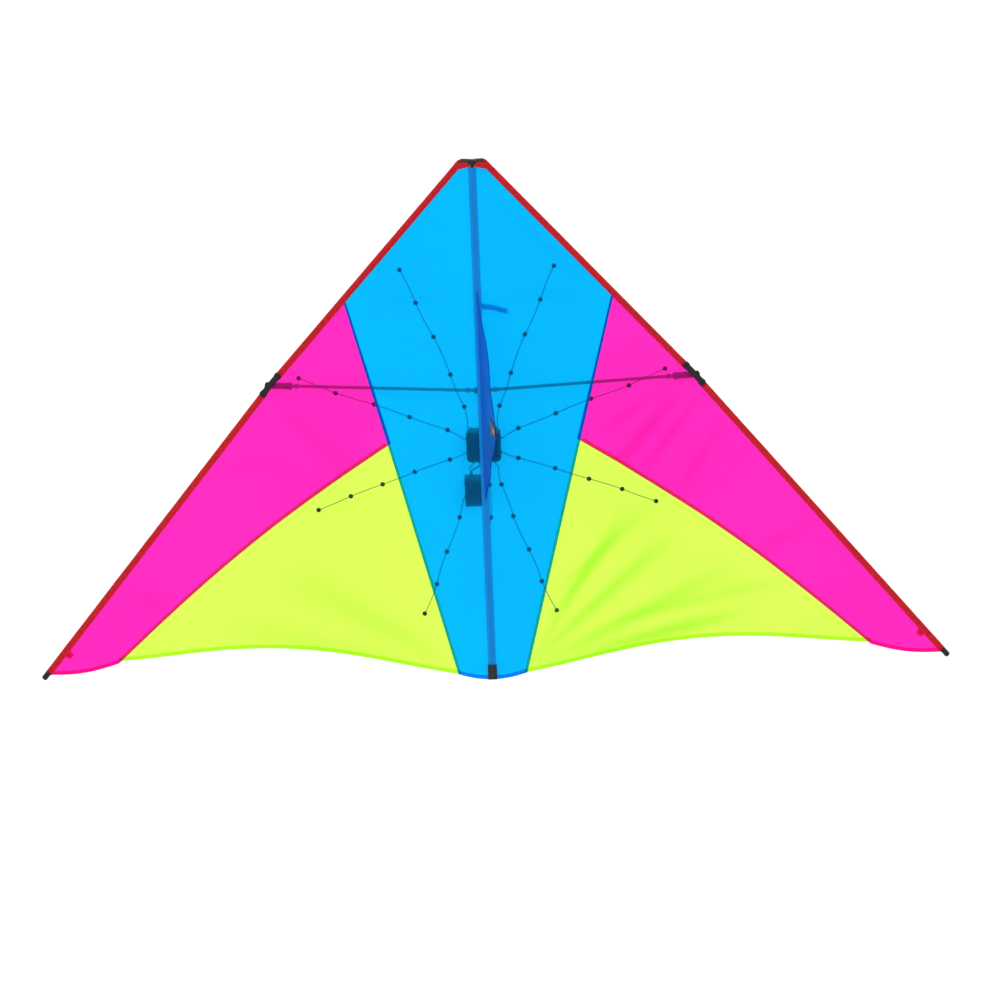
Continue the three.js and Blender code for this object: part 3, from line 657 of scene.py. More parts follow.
def ripstop(name, colour, shade, fold, see_through=0.74, glow=0.66):
    """Thin woven nylon with a thicker thread every few millimetres, which lets light through, and painted crease shade
    in its fold colour where the mesh marks a crease.
    """
    s = Shader(name)
    flat = s.cloth_map()
    grid = s.maths("MAXIMUM", s.wave(0.0052, "X", flat, 9.0), s.wave(0.0052, "Y", flat, 9.0))
    weave = s.maths("ADD", s.wave(0.0009, "X", flat), s.wave(0.0009, "Y", flat))
    dye = s.span(s.noise(5.0, 4.0, flat), 0.3, 0.7)
    # Painted crease shade: the colour darkens towards fold, a darker copy of the cloth, as the mesh's crease attribute
    # rises
    crease_shade = s.add("ShaderNodeAttribute", attribute_name="CreaseShade").outputs["Fac"]
    body = s.blend(crease_shade, s.blend(s.maths("MULTIPLY", dye, 0.35), colour, shade), fold)
    threads = s.blend(s.maths("MULTIPLY", grid, 0.30), body, shade)
    height = s.maths("ADD", s.maths("MULTIPLY", weave, 0.3), grid)
    crinkle = s.noise(90.0, 5.0, flat, 0.6)
    rough = s.bump(height, 0.25, 0.00012, s.bump(crinkle, 0.12, 0.0012))
    cover = s.principled(
        threads, s.span(crinkle, 0.3, 0.7, 0.42, 0.62), rough, Specular_IOR_Level=0.3, Sheen_Weight=0.12
    )
    through = s.add("ShaderNodeGamma")
    s.link(threads, through.inputs["Color"])
    through.inputs["Gamma"].default_value = 0.5  # light passes both faces, and each tints it by a root
    lit = s.add("ShaderNodeBsdfTranslucent")
    s.link(through.outputs[0], lit.inputs["Color"])
    s.link(rough, lit.inputs["Normal"])
    clear = s.add("ShaderNodeBsdfTransparent")
    s.link(through.outputs[0], clear.inputs["Color"])
    cloth = s.add("ShaderNodeMixShader")
    cloth.inputs[0].default_value = glow
    s.link(cover, cloth.inputs[1])
    s.link(lit.outputs[0], cloth.inputs[2])
    whole = s.add("ShaderNodeMixShader")
    whole.inputs[0].default_value = see_through
    s.link(cloth.outputs[0], whole.inputs[1])
    s.link(clear.outputs[0], whole.inputs[2])
    return s.finish(whole.outputs[0])


def webbing(name, colour, light):
    """Close woven tape, ribbed across."""
    s = Shader(name)
    place = s.place()
    ribs = s.wave(0.0016, "Z", place)
    twill = s.wave(0.0007, "DIAGONAL", place)
    height = s.maths("ADD", ribs, s.maths("MULTIPLY", twill, 0.5))
    worn = s.maths("MULTIPLY", s.noise(60.0, 6.0), s.span(height, 0.4, 1.5))
    shade = s.blend(s.span(worn, 0.25, 0.75), colour, light)
    dull = s.span(worn, 0.2, 0.8, 0.75, 0.95)
    return s.finish(s.principled(shade, dull, s.bump(height, 0.6, 0.0003), Sheen_Weight=0.25))


def binding(name, colour, shade):
    """Woven edge tape that the rods run in: dense, but it still takes a little light from behind."""
    s = Shader(name)
    flat = s.cloth_map()
    weave = s.maths("ADD", s.wave(0.0011, "X", flat), s.wave(0.0011, "Y", flat))
    slub = s.noise(150.0, 4.0, flat)
    tone = s.blend(s.span(slub, 0.35, 0.65), colour, shade)
    puckered = s.bump(weave, 0.35, 0.00018, s.bump(s.noise(45.0, 3.0, flat), 0.35, 0.0012))
    cover = s.principled(tone, s.span(slub, 0.3, 0.7, 0.5, 0.7), puckered, Sheen_Weight=0.15)
    lit = s.add("ShaderNodeBsdfTranslucent")
    s.feed(lit.inputs["Color"], tone)
    whole = s.add("ShaderNodeMixShader")
    whole.inputs[0].default_value = 0.6
    s.link(cover, whole.inputs[1])
    s.link(lit.outputs[0], whole.inputs[2])
    return s.finish(whole.outputs[0])


def fibre_rod(name):
    """Pultruded rod: fine long grain under a satin skin, scuffed."""
    s = Shader(name)
    place = s.place()
    stretch = s.add("ShaderNodeMapping")
    s.link(place, stretch.inputs["Vector"])
    stretch.inputs["Scale"].default_value = (900, 900, 25)
    grain = s.noise(1.0, 5.0, stretch.outputs[0])
    scuff = s.span(s.noise(38.0, 6.0), 0.52, 0.72)
    tone = s.blend(s.span(grain, 0.35, 0.65), srgb(12, 13, 15), srgb(30, 32, 34))
    shade = s.blend(s.maths("MULTIPLY", scuff, 0.25), tone, srgb(70, 72, 75))
    dull = s.span(scuff, 0, 1, 0.4, 0.6)
    return s.finish(s.principled(shade, dull, s.bump(grain, 0.15, 0.0001), Specular_IOR_Level=0.25))


def moulded(name, colour, light, roughness=0.5, grain=0.0011, depth=0.00006, rubbed=0.3):
    """Moulded vinyl or plastic with a spark-eroded grain, paler where it is rubbed."""
    s = Shader(name)
    pits = s.add("ShaderNodeTexVoronoi")
    pits.inputs["Scale"].default_value = 1 / grain
    s.link(s.place(), pits.inputs["Vector"])
    edges = s.add("ShaderNodeNewGeometry").outputs["Pointiness"]
    wear = s.maths("MULTIPLY", s.span(edges, 0.5, 0.58), s.span(s.noise(120.0, 5.0), 0.35, 0.7))
    dust = s.maths("MULTIPLY", s.span(s.noise(22.0, 6.0), 0.5, 0.8), 0.25)
    shade = s.blend(s.maths("MAXIMUM", s.maths("MULTIPLY", wear, rubbed), dust), colour, light)
    return s.finish(
        s.principled(shade, s.span(s.noise(60.0, 4.0), 0.3, 0.7, roughness - 0.08, roughness + 0.1),
                     s.bump(pits.outputs[0], 0.35, depth), Specular_IOR_Level=0.3)
    )


def metal(name, colour, dark, roughness=0.3):
    """Plated or pressed metal, brushed and slightly tarnished."""
    s = Shader(name)
    brushed = s.add("ShaderNodeMapping")
    s.link(s.place(), brushed.inputs["Vector"])
    brushed.inputs["Scale"].default_value = (2500, 300, 2500)
    lines = s.noise(1.0, 3.0, brushed.outputs[0])
    stain = s.span(s.noise(140.0, 6.0), 0.5, 0.75)
    shade = s.blend(s.maths("MULTIPLY", stain, 0.5), colour, dark)
    return s.finish(
        s.principled(shade, s.span(stain, 0, 1, roughness, roughness + 0.2), s.bump(lines, 0.1, 0.00004),
                     Metallic=1.0)
    )


def insulation(name, colour, light):
    """Soft wire covering with a slight print of its strands."""
    s = Shader(name)
    strands = s.wave(0.0021, "DIAGONAL", s.place())
    tone = s.blend(s.span(s.noise(75.0, 4.0), 0.35, 0.7), colour, light)
    relief = s.bump(strands, 0.25, 0.00006)
    return s.finish(s.principled(tone, 0.42, relief, Coat_Weight=0.15, Coat_Roughness=0.3))


def lamp_dome(name, colour):
    """Cast clear resin over the lamp's chip, cloudy inside."""
    s = Shader(name)
    cloud = s.span(s.noise(420.0, 4.0), 0.35, 0.7)
    tone = s.blend(cloud, colour, (0.9, 0.97, 0.93))
    return s.finish(
        s.principled(tone, s.span(cloud, 0, 1, 0.12, 0.3), Transmission_Weight=0.45, IOR=1.5)
    )


def board_mask(name):
    s = Shader(name)
    place = s.place()
    tracks = s.maths("MAXIMUM", s.wave(0.0042, "X", place, 7.0), s.wave(0.0063, "Z", place, 8.0))
    tone = s.blend(s.maths("MULTIPLY", tracks, 0.6), srgb(16, 84, 46), srgb(70, 140, 84))
    return s.finish(s.principled(tone, 0.32, s.bump(tracks, 0.4, 0.00005)))


def cell_wrap(name):
    """Shrink film on a dry cell: a dark body with a copper end."""
    s = Shader(name)
    film = s.noise(35.0, 3.0)
    up = s.add("ShaderNodeSeparateXYZ")
    s.link(s.place(), up.inputs[0])
    end = s.span(up.outputs[2], -0.112, -0.1118)
    tone = s.blend(end, srgb(40, 42, 48), srgb(176, 116, 66))
    return s.finish(s.principled(s.blend(s.span(film, 0.4, 0.7, 0, 0.2), tone, srgb(120, 120, 126)), 0.3,
                                 s.bump(film, 0.1, 0.0002), Metallic=0.6))


# The last colour given to each ripstop is its fold colour, a darker copy of the cloth: painted crease shade, laid
# where the mesh's crease attribute marks a fold.
BLUE = ripstop("blue ripstop", srgb(2, 184, 248), srgb(0, 174, 242), srgb(0, 160, 230))
BLUE_DENSE = ripstop("blue pocket cloth", srgb(0, 182, 252), srgb(0, 172, 242), srgb(0, 162, 230),
                     see_through=0.5, glow=0.34)
# The keel cloth is a darker copy of the blue ripstop: painted shade for the keel seen nearly edge-on and for the tie
# seen through the sail.
SHADED_BLUE_RIPSTOP = ripstop("shaded blue ripstop", srgb(0, 122, 210), srgb(0, 114, 202), srgb(0, 106, 194), see_through=0.58)
PINK = ripstop("pink ripstop", srgb(255, 44, 190), srgb(255, 34, 180), srgb(250, 22, 164))
YELLOW = ripstop("yellow ripstop", srgb(218, 255, 92), srgb(204, 255, 78), srgb(172, 250, 52))
RED = binding("red binding", srgb(246, 16, 44), srgb(228, 8, 34))
BLACK_WEB = webbing("black webbing", srgb(20, 14, 16), srgb(52, 42, 46))
ROD = fibre_rod("glass fibre rod")
VINYL = moulded("black vinyl", srgb(13, 8, 10), srgb(52, 42, 44), 0.5, 0.0016, 0.00004)
BOX = moulded("box plastic", srgb(8, 9, 11), srgb(46, 48, 52), 0.52)
KNOB = moulded("switch plastic", srgb(150, 152, 156), srgb(200, 202, 205), 0.4)
STEEL = metal("plated steel", srgb(178, 180, 184), srgb(110, 108, 104))
NICKEL = metal("pressed nickel", srgb(158, 156, 150), srgb(92, 90, 84), 0.36)
WIRE = insulation("lamp wire", srgb(16, 44, 38), srgb(34, 74, 62))
SLEEVING = insulation("lead sleeving", srgb(16, 16, 18), srgb(46, 46, 50))
DOME = lamp_dome("lamp resin", srgb(120, 190, 160))
BOARD = board_mask("circuit board")
CELL = cell_wrap("cell film")
THREADS = {
    "blue": moulded("blue thread", srgb(0, 118, 205), srgb(60, 170, 235), 0.7, 0.0006),
    "pink": moulded("pink thread", srgb(228, 20, 140), srgb(255, 120, 200), 0.7, 0.0006),
    "yellow": moulded("yellow thread", srgb(176, 214, 40), srgb(226, 250, 130), 0.7, 0.0006),
    "red": moulded("red thread", srgb(160, 8, 26), srgb(220, 70, 80), 0.7, 0.0006),
    "black": moulded("black thread", srgb(20, 20, 22), srgb(60, 60, 64), 0.7, 0.0006),
}


# ---- Stitching ----
def stitches(name, points, thread, body, step=3.4, radius=0.24):
    """A row of lockstitches along points in metres: one stitch, arrayed and bent along the seam."""
    line = curve_line("seam line", points, 0.0)
    line.data.bevel_depth = 0.0
    length = sum((q - p).length for p, q in zip(points, points[1:]))
    bpy.ops.mesh.primitive_cylinder_add(
        vertices=5, radius=radius * MM, depth=step * 0.72 * MM, location=(step * 0.5 * MM, 0, 0),
        rotation=(0, math.pi / 2, 0),
    )
    row = settle(bpy.context.object, name)
    array = row.modifiers.new("Stitches", "ARRAY")
    array.use_relative_offset, array.use_constant_offset = False, True
    array.constant_offset_displace = (step * MM, 0, 0)
    array.count = max(int(length / (step * MM)), 2)
    bend = row.modifiers.new("Seam", "CURVE")
    bend.object, bend.deform_axis = line, "POS_X"
    apply_modifiers(row)
    bpy.data.objects.remove(line)
    paint(row, THREADS[thread])
    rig.ride(row, body)
    return row


def cloth_panel(side_name, side, cloth, inner, outer, columns, rows, layer, material, shape=None):
    def place_at(across, along):
        place = mix(inner(along), outer(along), across)
        return shape(place, across, along) if shape else place

    def point(across, along):
        out, down = place_at(across, along)
        return on_sail(out, down, layer + pucker(side, (out, down)), side)

    # Each point's share of painted crease shade, from the folds at its place
    def folded(across, along):
        return crease_shade_share(cloth, side, place_at(across, along))

    obj = sheet_mesh(f"{side_name}_{cloth}_cloth", columns, rows, point, place_at, folded)
    thicken(obj)
    paint(obj, material)
    return obj


CORNER_ROW = 0.25
BLUE_TOP = spar_place(NOSE, ELBOW, 3 / (ELBOW[1] - NOSE[1]), SLEEVE_EDGE - TUCK)
PINK_LAYER, YELLOW_LAYER, BLUE_LAYER = 0.0, 0.42, -0.42


def blue_inner(share):
    return (POCKET_EDGE - 1.2, BLUE_TOP[1] + (SAIL_FOOT - BLUE_TOP[1]) * share)


def blue_outer(share):
    corner = (CORNER[0] + SEAM_HALF, CORNER[1])
    if share < CORNER_ROW:
        return mix(BLUE_TOP, (corner[0] + TUCK * 0.7, corner[1] - TUCK * 0.7), share / CORNER_ROW)
    foot = (CENTRE_FOOT[0] + SEAM_HALF, CENTRE_FOOT[1])
    return mix(corner, foot, (share - CORNER_ROW) / (1 - CORNER_ROW))


def pink_leading(share):
    inward = SLEEVE_EDGE - TUCK
    middle = mix(spar_place(NOSE, ELBOW, 1, inward), spar_place(ELBOW, TIP, 0, inward), 0.5)
    if share < CORNER_ROW:
        start = spar_place(NOSE, ELBOW, (CORNER_DOWN - NOSE[1]) / (ELBOW[1] - NOSE[1]), inward)
        return mix((start[0] - SEAM_HALF, start[1]), middle, share / CORNER_ROW)
    return mix(middle, spar_place(ELBOW, TIP, 0.985, inward), (share - CORNER_ROW) / (1 - CORNER_ROW))


def pink_inner(share):
    out, down = outer_seam(share, -SEAM_HALF)
    return (out - SEAM_HALF * (1 - share), down)


def tip_curve(place, across, along):
    """The pink panel's foot is cut in a shallow outward curve."""
    return (place[0], place[1] + 7.0 * math.sin(math.pi * across) * smooth(0.8, 1.0, along))


def yellow_inner(share):
    out, down = seam_place(TRIPLE_DOWN + 6 + (CENTRE_FOOT[1] - TRIPLE_DOWN - 6) * share)
    return (out - SEAM_HALF, down)


def yellow_outer(share):
    return outer_seam(0.012 + 0.988 * share, SEAM_HALF)


def scallop(place, across, along):
    rise = SCALLOP * math.sin(math.pi * across) ** 1.3 * along ** 3
    return (place[0], place[1] - rise)


def blue_foot(place, across, along):
    return (place[0], place[1] + 2.0 * math.sin(math.pi * across) * along ** 6)


def hem(side_name, side, cloth, edge, columns, width, layer, material, body):
    """The cloth turned back along a free edge: a narrow second layer behind it."""
    def place_at(across, along):
        out, down = edge(across)
        return (out, down - width * along - 0.1)

    def point(across, along):
        out, down = place_at(across, along)
        return on_sail(out, down, layer + pucker(side, (out, down)), side)

    obj = sheet_mesh(f"{side_name}_{cloth}_hem", columns, 3, point, place_at)
    thicken(obj)
    paint(obj, material)
    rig.ride(obj, body)
    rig.slot(obj, SLOTS[cloth])
    middle = [
        on_sail(out, down - width * 0.75, layer + 0.3 + pucker(side, (out, down - width * 0.75)), side)
        for out, down in (edge((i + 0.5) / columns) for i in range(columns))
    ]
    stitches(f"{side_name}_{cloth}_hem_stitches", middle, THREAD_OF[cloth], body)
    return obj


SLOTS = {"sail_centre": "blue_ripstop", "sail_outer": "pink_ripstop", "sail_rear": "yellow_ripstop"}
THREAD_OF = {"sail_centre": "blue", "sail_outer": "pink", "sail_rear": "yellow"}
CLOTHS = {
    "sail_centre": (blue_inner, blue_outer, 34, 132, BLUE_LAYER, BLUE, blue_foot, (0.231, 0.935)),
    "sail_outer": (pink_inner, pink_leading, 44, 120, PINK_LAYER, PINK, tip_curve, (0.223, 0.882)),
    "sail_rear": (yellow_inner, yellow_outer, 96, 72, YELLOW_LAYER, YELLOW, scallop, (0.416, 0.610)),
}
SEWN_TO = {
    "sail_centre": lambda side_name: ["spine_pocket"],
    "sail_outer": lambda side_name: [f"{side_name}_leading_edge_sleeve_{end}" for end in ("upper", "lower")],
    "sail_rear": lambda side_name: [f"{side_name}_sail_centre", f"{side_name}_sail_outer"],
}


def edge_of(cloth):
    inner, outer, _, _, _, _, shape, _ = CLOTHS[cloth]
    return lambda share: shape(mix(inner(1.0), outer(1.0), 0.004 + 0.992 * share), share, 1.0)


def sail(side_name, side):
    body = f"{side_name}_wing"
    for cloth, (inner, outer, columns, rows, layer, material, shape, flat) in CLOTHS.items():
        panel = cloth_panel(side_name, side, cloth, inner, outer, columns, rows, layer, material, shape)
        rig.replaces(panel, f"{side_name}_{cloth}")
        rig.slot(panel, SLOTS[cloth])
        hemmed = hem(side_name, side, cloth, edge_of(cloth), 40, 7.0, layer + 0.36, material, body)
        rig.sheet(panel, flat=flat, area=cut_area(panel, flat, 4), held="stretched",
                 rests_on=SEWN_TO[cloth](side_name), with_pieces=[hemmed])
        if cloth == "sail_centre":
            start, end = on_plane(9, 480, 0, side), on_plane(42, 480, 0, side)
            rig.blend(panel, "frame", body, start, end)
        else:
            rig.ride(panel, body)
    seam_rows(side_name, side, body)


def seam_rows(side_name, side, body):
    """Two rows of stitches down each lapped seam, on the front and the back."""
    for face, lift in (("front", -0.72), ("back", 0.78)):
        for number, aside in enumerate((-1.6, 1.6)):
            run = CENTRE_FOOT[1] - CORNER[1] - 8
            downs = [CORNER[1] + 4 + run * i / 60 for i in range(61)]
            down_seam = [(seam_place(down)[0] + aside, down) for down in downs]
            cross_seam = [outer_seam(0.02 + 0.96 * i / 60, aside) for i in range(61)]
            for thread, places, stand in (("blue", down_seam, lift), ("pink", cross_seam, lift + 0.3)):
                row = [on_sail(*place, stand + pucker(side, place), side) for place in places]
                stitches(f"{side_name}_{thread}_seam_{face}_{number + 1}", row, thread, body)


# ---- Leading edge: rods in folded tape sleeves ----
def wing_frame(start, end, side):
    """The directions along a spar, inward in the wing's plane, and square out of its back."""
    along = (end - start).normalized()
    back = Vector((-math.sin(DIHEDRAL) * side, math.cos(DIHEDRAL), 0.0))
    back = (back - along * back.dot(along)).normalized()
    inward = along.cross(back) if side > 0 else back.cross(along)
    if inward.x * side > 0:
        inward = -inward
    return along, inward, back


SLEEVE_OUT, SLEEVE_ROUND, LIP, LIP_GAP = 5.0, 3.5, 6.4, 0.95


def sleeve_section(share):
    """The tape's section: (inward, back) in millimetres, from the front lip round the rod to the back lip."""
    if share < 0.2:
        t = share / 0.2
        return (LIP - (LIP - 2.6) * t, -LIP_GAP - (SLEEVE_ROUND * 0.72 - LIP_GAP) * smooth(0, 1, t))
    if share > 0.8:
        inward, back = sleeve_section(1 - share)
        return (inward, -back)
    t = (share - 0.2) / 0.6
    angle = math.pi * (0.22 + 1.56 * t)
    return (math.cos(angle) * (SLEEVE_OUT if math.cos(angle) < 0 else 3.4), -math.sin(angle) * SLEEVE_ROUND)


def sleeve(name, side, start, end, trim_start, trim_end, body, node):
    """Red tape folded round a rod between two points, short of each by its trim, with a stitched lip."""
    along, inward, back = wing_frame(start, end, side)
    length = (end - start).length / MM
    rows = max(int((length - trim_start - trim_end) / 5), 6)

    def place_at(across, share):
        return (across * TAPE_CUT, trim_start + (length - trim_start - trim_end) * share)

    def point(across, share):
        into, behind = sleeve_section(across)
        distance = place_at(across, share)[1]
        seed = Vector((distance * 0.09, across * 3.1, side * 2.0 + trim_start * 0.01))
        slack = 0.22 * noise.noise(seed) + 0.1 * math.sin(distance * 0.55 + 4 * across)
        into_wave = 0.22 * noise.noise(seed * 0.8 + Vector((0, 0, 9)))
        scale = 1 + slack * 0.06
        offset = along * distance + inward * (into * scale + into_wave) + back * behind * scale
        return start + offset * MM

    tape = sheet_mesh(name, 22, rows, point, place_at)
    thicken(tape, 0.34)
    fitted(tape, RED, body, "red_binding", node)
    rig.sheet(tape, flat=(TAPE_CUT * MM, (length - trim_start - trim_end) * MM), held="folded", rests_on=[])
    for face, lift in (("front", -1.0), ("back", 1.0)):
        row = [
            start + along * (trim_start + 2 + (length - trim_start - trim_end - 4) * i / 80) * MM
            + inward * (LIP - 1.5) * MM + back * lift * (LIP_GAP + 0.36) * MM
            for i in range(81)
        ]
        stitches(f"{name}_stitches_{face}", row, "red", body)


def leading_edge(side_name, side):
    body = f"{side_name}_wing"
    nose, elbow, tip = on_plane(*NOSE, 0, side), on_plane(*ELBOW, 0, side), on_plane(*TIP, 0, side)
    down = (elbow - nose).normalized()
    out = (tip - elbow).normalized()
    upper = (elbow - nose).length / MM
    for name, start, end in (
        ("upper", nose + down * MM, elbow - down * 2 * MM),
        ("lower", elbow + out * 2 * MM, tip - out * 0.2 * MM),
    ):
        spar = rod_between(f"{side_name}_leading_edge_spar_{name}", start, end, ROD_RADIUS)
        fitted(spar, ROD, body, "glass_fibre_rod", f"{side_name}_leading_edge_rod_{name}")
    sleeve(f"{side_name}_nose_tape", side, nose, elbow, 0, upper - 22, body, f"{side_name}_nose_patch")
    sleeve(f"{side_name}_edge_tape_upper", side, nose, elbow, 20, TEE_HALF + 0.4, body,
           f"{side_name}_leading_edge_sleeve_upper")
    sleeve(f"{side_name}_edge_tape_lower", side, elbow, tip, TEE_HALF + 0.4, 12, body,
           f"{side_name}_leading_edge_sleeve_lower")
    cap = turned(
        f"{side_name}_tip_end_cap",
        [(3.1, 0), (3.1, 14.6), (0, 14.6), (0, 17.2), (2.6, 17.1), (4.2, 16.2), (4.9, 14.4), (5.1, 12.5),
         (5.1, 9.5), (4.8, 9.2), (4.8, 7.6), (5.1, 7.3), (5.1, 1.0), (4.7, 0.2), (3.6, 0), (3.1, 0)],
        tip - out * 14.6 * MM, tip + out * MM,
    )
    fitted(cap, VINYL, body, "vinyl_fitting", f"{side_name}_tip_cap")
    tension_tab(side_name, side, elbow, tip, body)


def tension_tab(side_name, side, elbow, tip, body):
    """A small folded tab sewn over the sleeve's lip near the tip, which takes the sail's pull."""
    along, inward, back = wing_frame(elbow, tip, side)
    middle = elbow + along * ((tip - elbow).length - 62 * MM)

    def place_at(across, share):
        return (across * TAB_CUT, share * 24)

    def point(across, share):
        half = 9 * (1 - 0.45 * share)
        lift = LIP_GAP + 0.6 + (2.9 if share < 0.45 else 2.9 * (1 - smooth(0.45, 0.8, share)))
        offset = along * (across - 0.5) * 2 * half + inward * (share * 17 - 1.5) + back * lift
        return middle + offset * MM

    tab = sheet_mesh(f"{side_name}_tension_tab", 8, 10, point, place_at)
    thicken(tab, 0.5)
    fitted(tab, RED, body, "red_binding")
    flat = (TAB_CUT * MM, TAB_CUT * MM)
    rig.sheet(tab, flat=flat, area=cut_area(tab, flat, 6), held="stretched",
             rests_on=[f"{side_name}_edge_tape_lower"])


# ---- Spreader, its T fittings and the joiner on the spine ----
JOINER = on_spine(0, JOINER_DOWN, JOINER_BEHIND)


def spreader_line(side):
    stem = on_plane(ELBOW[0], ELBOW[1] + TEE_DROP, TEE_BEHIND, side)
    return stem, (stem - JOINER).normalized(), (stem - JOINER).length


def tee(side_name, side):
    """The moulded T: two sockets for the spars, a stem behind them for the spreader, a rib outside."""
    body = f"{side_name}_wing"
    nose, elbow, tip = on_plane(*NOSE, 0, side), on_plane(*ELBOW, 0, side), on_plane(*TIP, 0, side)
    up, out = (nose - elbow).normalized(), (tip - elbow).normalized()
    stem, along, _ = spreader_line(side)
    mouth = stem - along * TEE_STEM * MM
    rib = elbow + Vector((5.7 * side, 0, -4)) * MM
    parts = [
        rod_between("part", elbow, elbow + up * (TEE_HALF - 0.6) * MM, 5.5, bevel=0),
        rod_between("part", elbow, elbow + out * (TEE_HALF - 0.6) * MM, 5.5, bevel=0),
        rod_between("part", mouth, stem, 5.6, bevel=0),
        rod_between("part", elbow.lerp(stem, 0.2), mouth.lerp(stem, 0.75), 4.6, bevel=0),
    ]
    bpy.ops.mesh.primitive_uv_sphere_add(segments=20, ring_count=12, radius=5.7 * MM, location=elbow)
    parts.append(bpy.context.object)
    bpy.ops.mesh.primitive_uv_sphere_add(
        segments=20, ring_count=12, radius=4.6 * MM, location=rib, scale=(1, 0.8, 2.1)
    )
    parts.append(bpy.context.object)
    body_piece = join(f"{side_name}_tee_fitting", *parts)
    remesh = body_piece.modifiers.new("Moulded", "REMESH")
    remesh.mode, remesh.voxel_size = "VOXEL", 0.75 * MM
    soften = body_piece.modifiers.new("Draft", "SMOOTH")
    soften.iterations, soften.factor = 6, 0.6
    apply_modifiers(body_piece)
    collars = []
    for start, way, reach in ((elbow, up, TEE_HALF), (elbow, out, TEE_HALF), (stem, -along, TEE_STEM)):
        end = start + way * reach * MM
        collars.append(turned("part", [
            (3.15, -9), (5.2, -9), (5.9, -7.6), (6.2, -6.4), (6.2, -1.2), (5.8, -0.3), (5.2, 0), (3.6, 0),
            (3.15, -0.5), (3.15, -9)], end, end + way * MM))
        for ring in (-5.2, -3.6, -2.0):
            collars.append(turned("part", [
                (5.9, ring - 0.5), (6.45, ring - 0.3), (6.6, ring), (6.45, ring + 0.3), (5.9, ring + 0.5),
                (5.9, ring - 0.5)], end, end + way * MM, 24))
    fitting = join(f"{side_name}_tee_fitting", body_piece, *collars)
    smooth_faces(fitting, 40)
    fitted(fitting, VINYL, body, "vinyl_fitting", f"{side_name}_t_connector")


def spreader(side_name, side):
    body = f"{side_name}_wing"
    _, along, length = spreader_line(side)
    pole = rod_between(f"{side_name}_spreader_pole", JOINER + along * 3.2 * MM,
                       JOINER + along * (length - 16 * MM), ROD_RADIUS)
    stops = []
    for distance, half in ((length - 46 * MM, 3.0), (24 * MM, 3.0)):
        middle = JOINER + along * distance
        stops.append(turned("part", [
            (2.78, -half), (3.9, -half), (4.4, -half + 0.5), (4.4, half - 0.5), (3.9, half), (2.78, half),
            (2.78, -half)], middle, middle + along * MM, 24))
    fitted(pole, ROD, body, "glass_fibre_rod", f"{side_name}_spreader_rod")
    fitted(join(f"{side_name}_spreader_stops", *stops), VINYL, body, "vinyl_fitting")
    half = turned(f"{side_name}_joiner_sleeve", [
        (3.15, 3.2), (3.15, JOINER_HALF), (3.6, JOINER_HALF + 0.3), (4.9, JOINER_HALF + 0.1),
        (5.4, JOINER_HALF - 0.6), (5.4, 9.5), (5.05, 9.2), (5.05, 8.2), (5.4, 7.9), (5.4, 0.2), (0.0, 0.0),
        (0.0, 3.0), (3.0, 3.0), (3.15, 3.2)], JOINER, JOINER + along * MM, 32)
    paint(half, VINYL)
    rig.slot(half, "vinyl_fitting")
    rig.blend(half, "frame", body, JOINER, JOINER + along * JOINER_HALF * MM)


def joiner_saddle():
    """The block that seats the joiner on the pocket, and the band that holds its two sleeves."""
    saddle = block("joiner_saddle", (-5, POCKET_DEPTH + 0.4, -JOINER_DOWN - 9),
                   (5, JOINER_BEHIND + 1, -JOINER_DOWN + 9), 1.6, 4)
    band = turned("part", [(5.45, -2.4), (6.1, -2.4), (6.3, -2.1), (6.3, 2.1), (6.1, 2.4), (5.45, 2.4),
                           (5.45, -2.4)], JOINER - Vector((0.002, 0, 0)), JOINER + Vector((0.002, 0, 0)))
    fitted(join("joiner_saddle", saddle, band), VINYL, "frame", "vinyl_fitting", "centre_joiner")


# ---- Spine: pocket, webbing at each end, rod and caps ----
def pocket():
    top, foot = 14.3, SAIL_FOOT - 27.3
    half, depth = POCKET_EDGE, POCKET_DEPTH

    def place_at(across, along):
        return (across * 38, top + (foot - top) * along)

    def point(across, along):
        angle = math.tau * across
        down = place_at(across, along)[1]
        edge = abs(math.cos(angle)) ** 3
        out = half * math.cos(angle) + 0.25 * noise.noise(Vector((down * 0.03, 4.0, 0))) * edge
        slack = 1 + 0.05 * noise.noise(Vector((down * 0.05, angle, 0)))
        behind = (depth - 0.3) * math.sin(angle) * slack * (1 - 0.35 * edge)
        return on_spine(out, down, behind)

    tube = sheet_mesh("spine_pocket_cloth", 28, 180, point, place_at)
    only(tube)
    bpy.ops.object.mode_set(mode="EDIT")
    bpy.ops.mesh.select_all(action="SELECT")
    bpy.ops.mesh.remove_doubles(threshold=1e-5)
    bpy.ops.object.mode_set(mode="OBJECT")
    thicken(tube, 0.35)
    fitted(tube, BLUE_DENSE, "frame", "blue_ripstop", "spine_pocket")
    flat = (POCKET_CUT * MM, (foot - top) * MM)
    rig.sheet(tube, flat=flat, area=cut_area(tube, flat, 5), held="folded", rests_on=["spine_rod"])
    for face, lift in (("front", -1.0), ("back", 1.0)):
        for side_name, side in SIDES:
            row = [on_spine(side * 5.3, top + 3 + (foot - top - 6) * i / 120, lift * 2.2) for i in range(121)]
            stitches(f"spine_pocket_stitches_{face}_{side_name}", row, "blue", "frame")


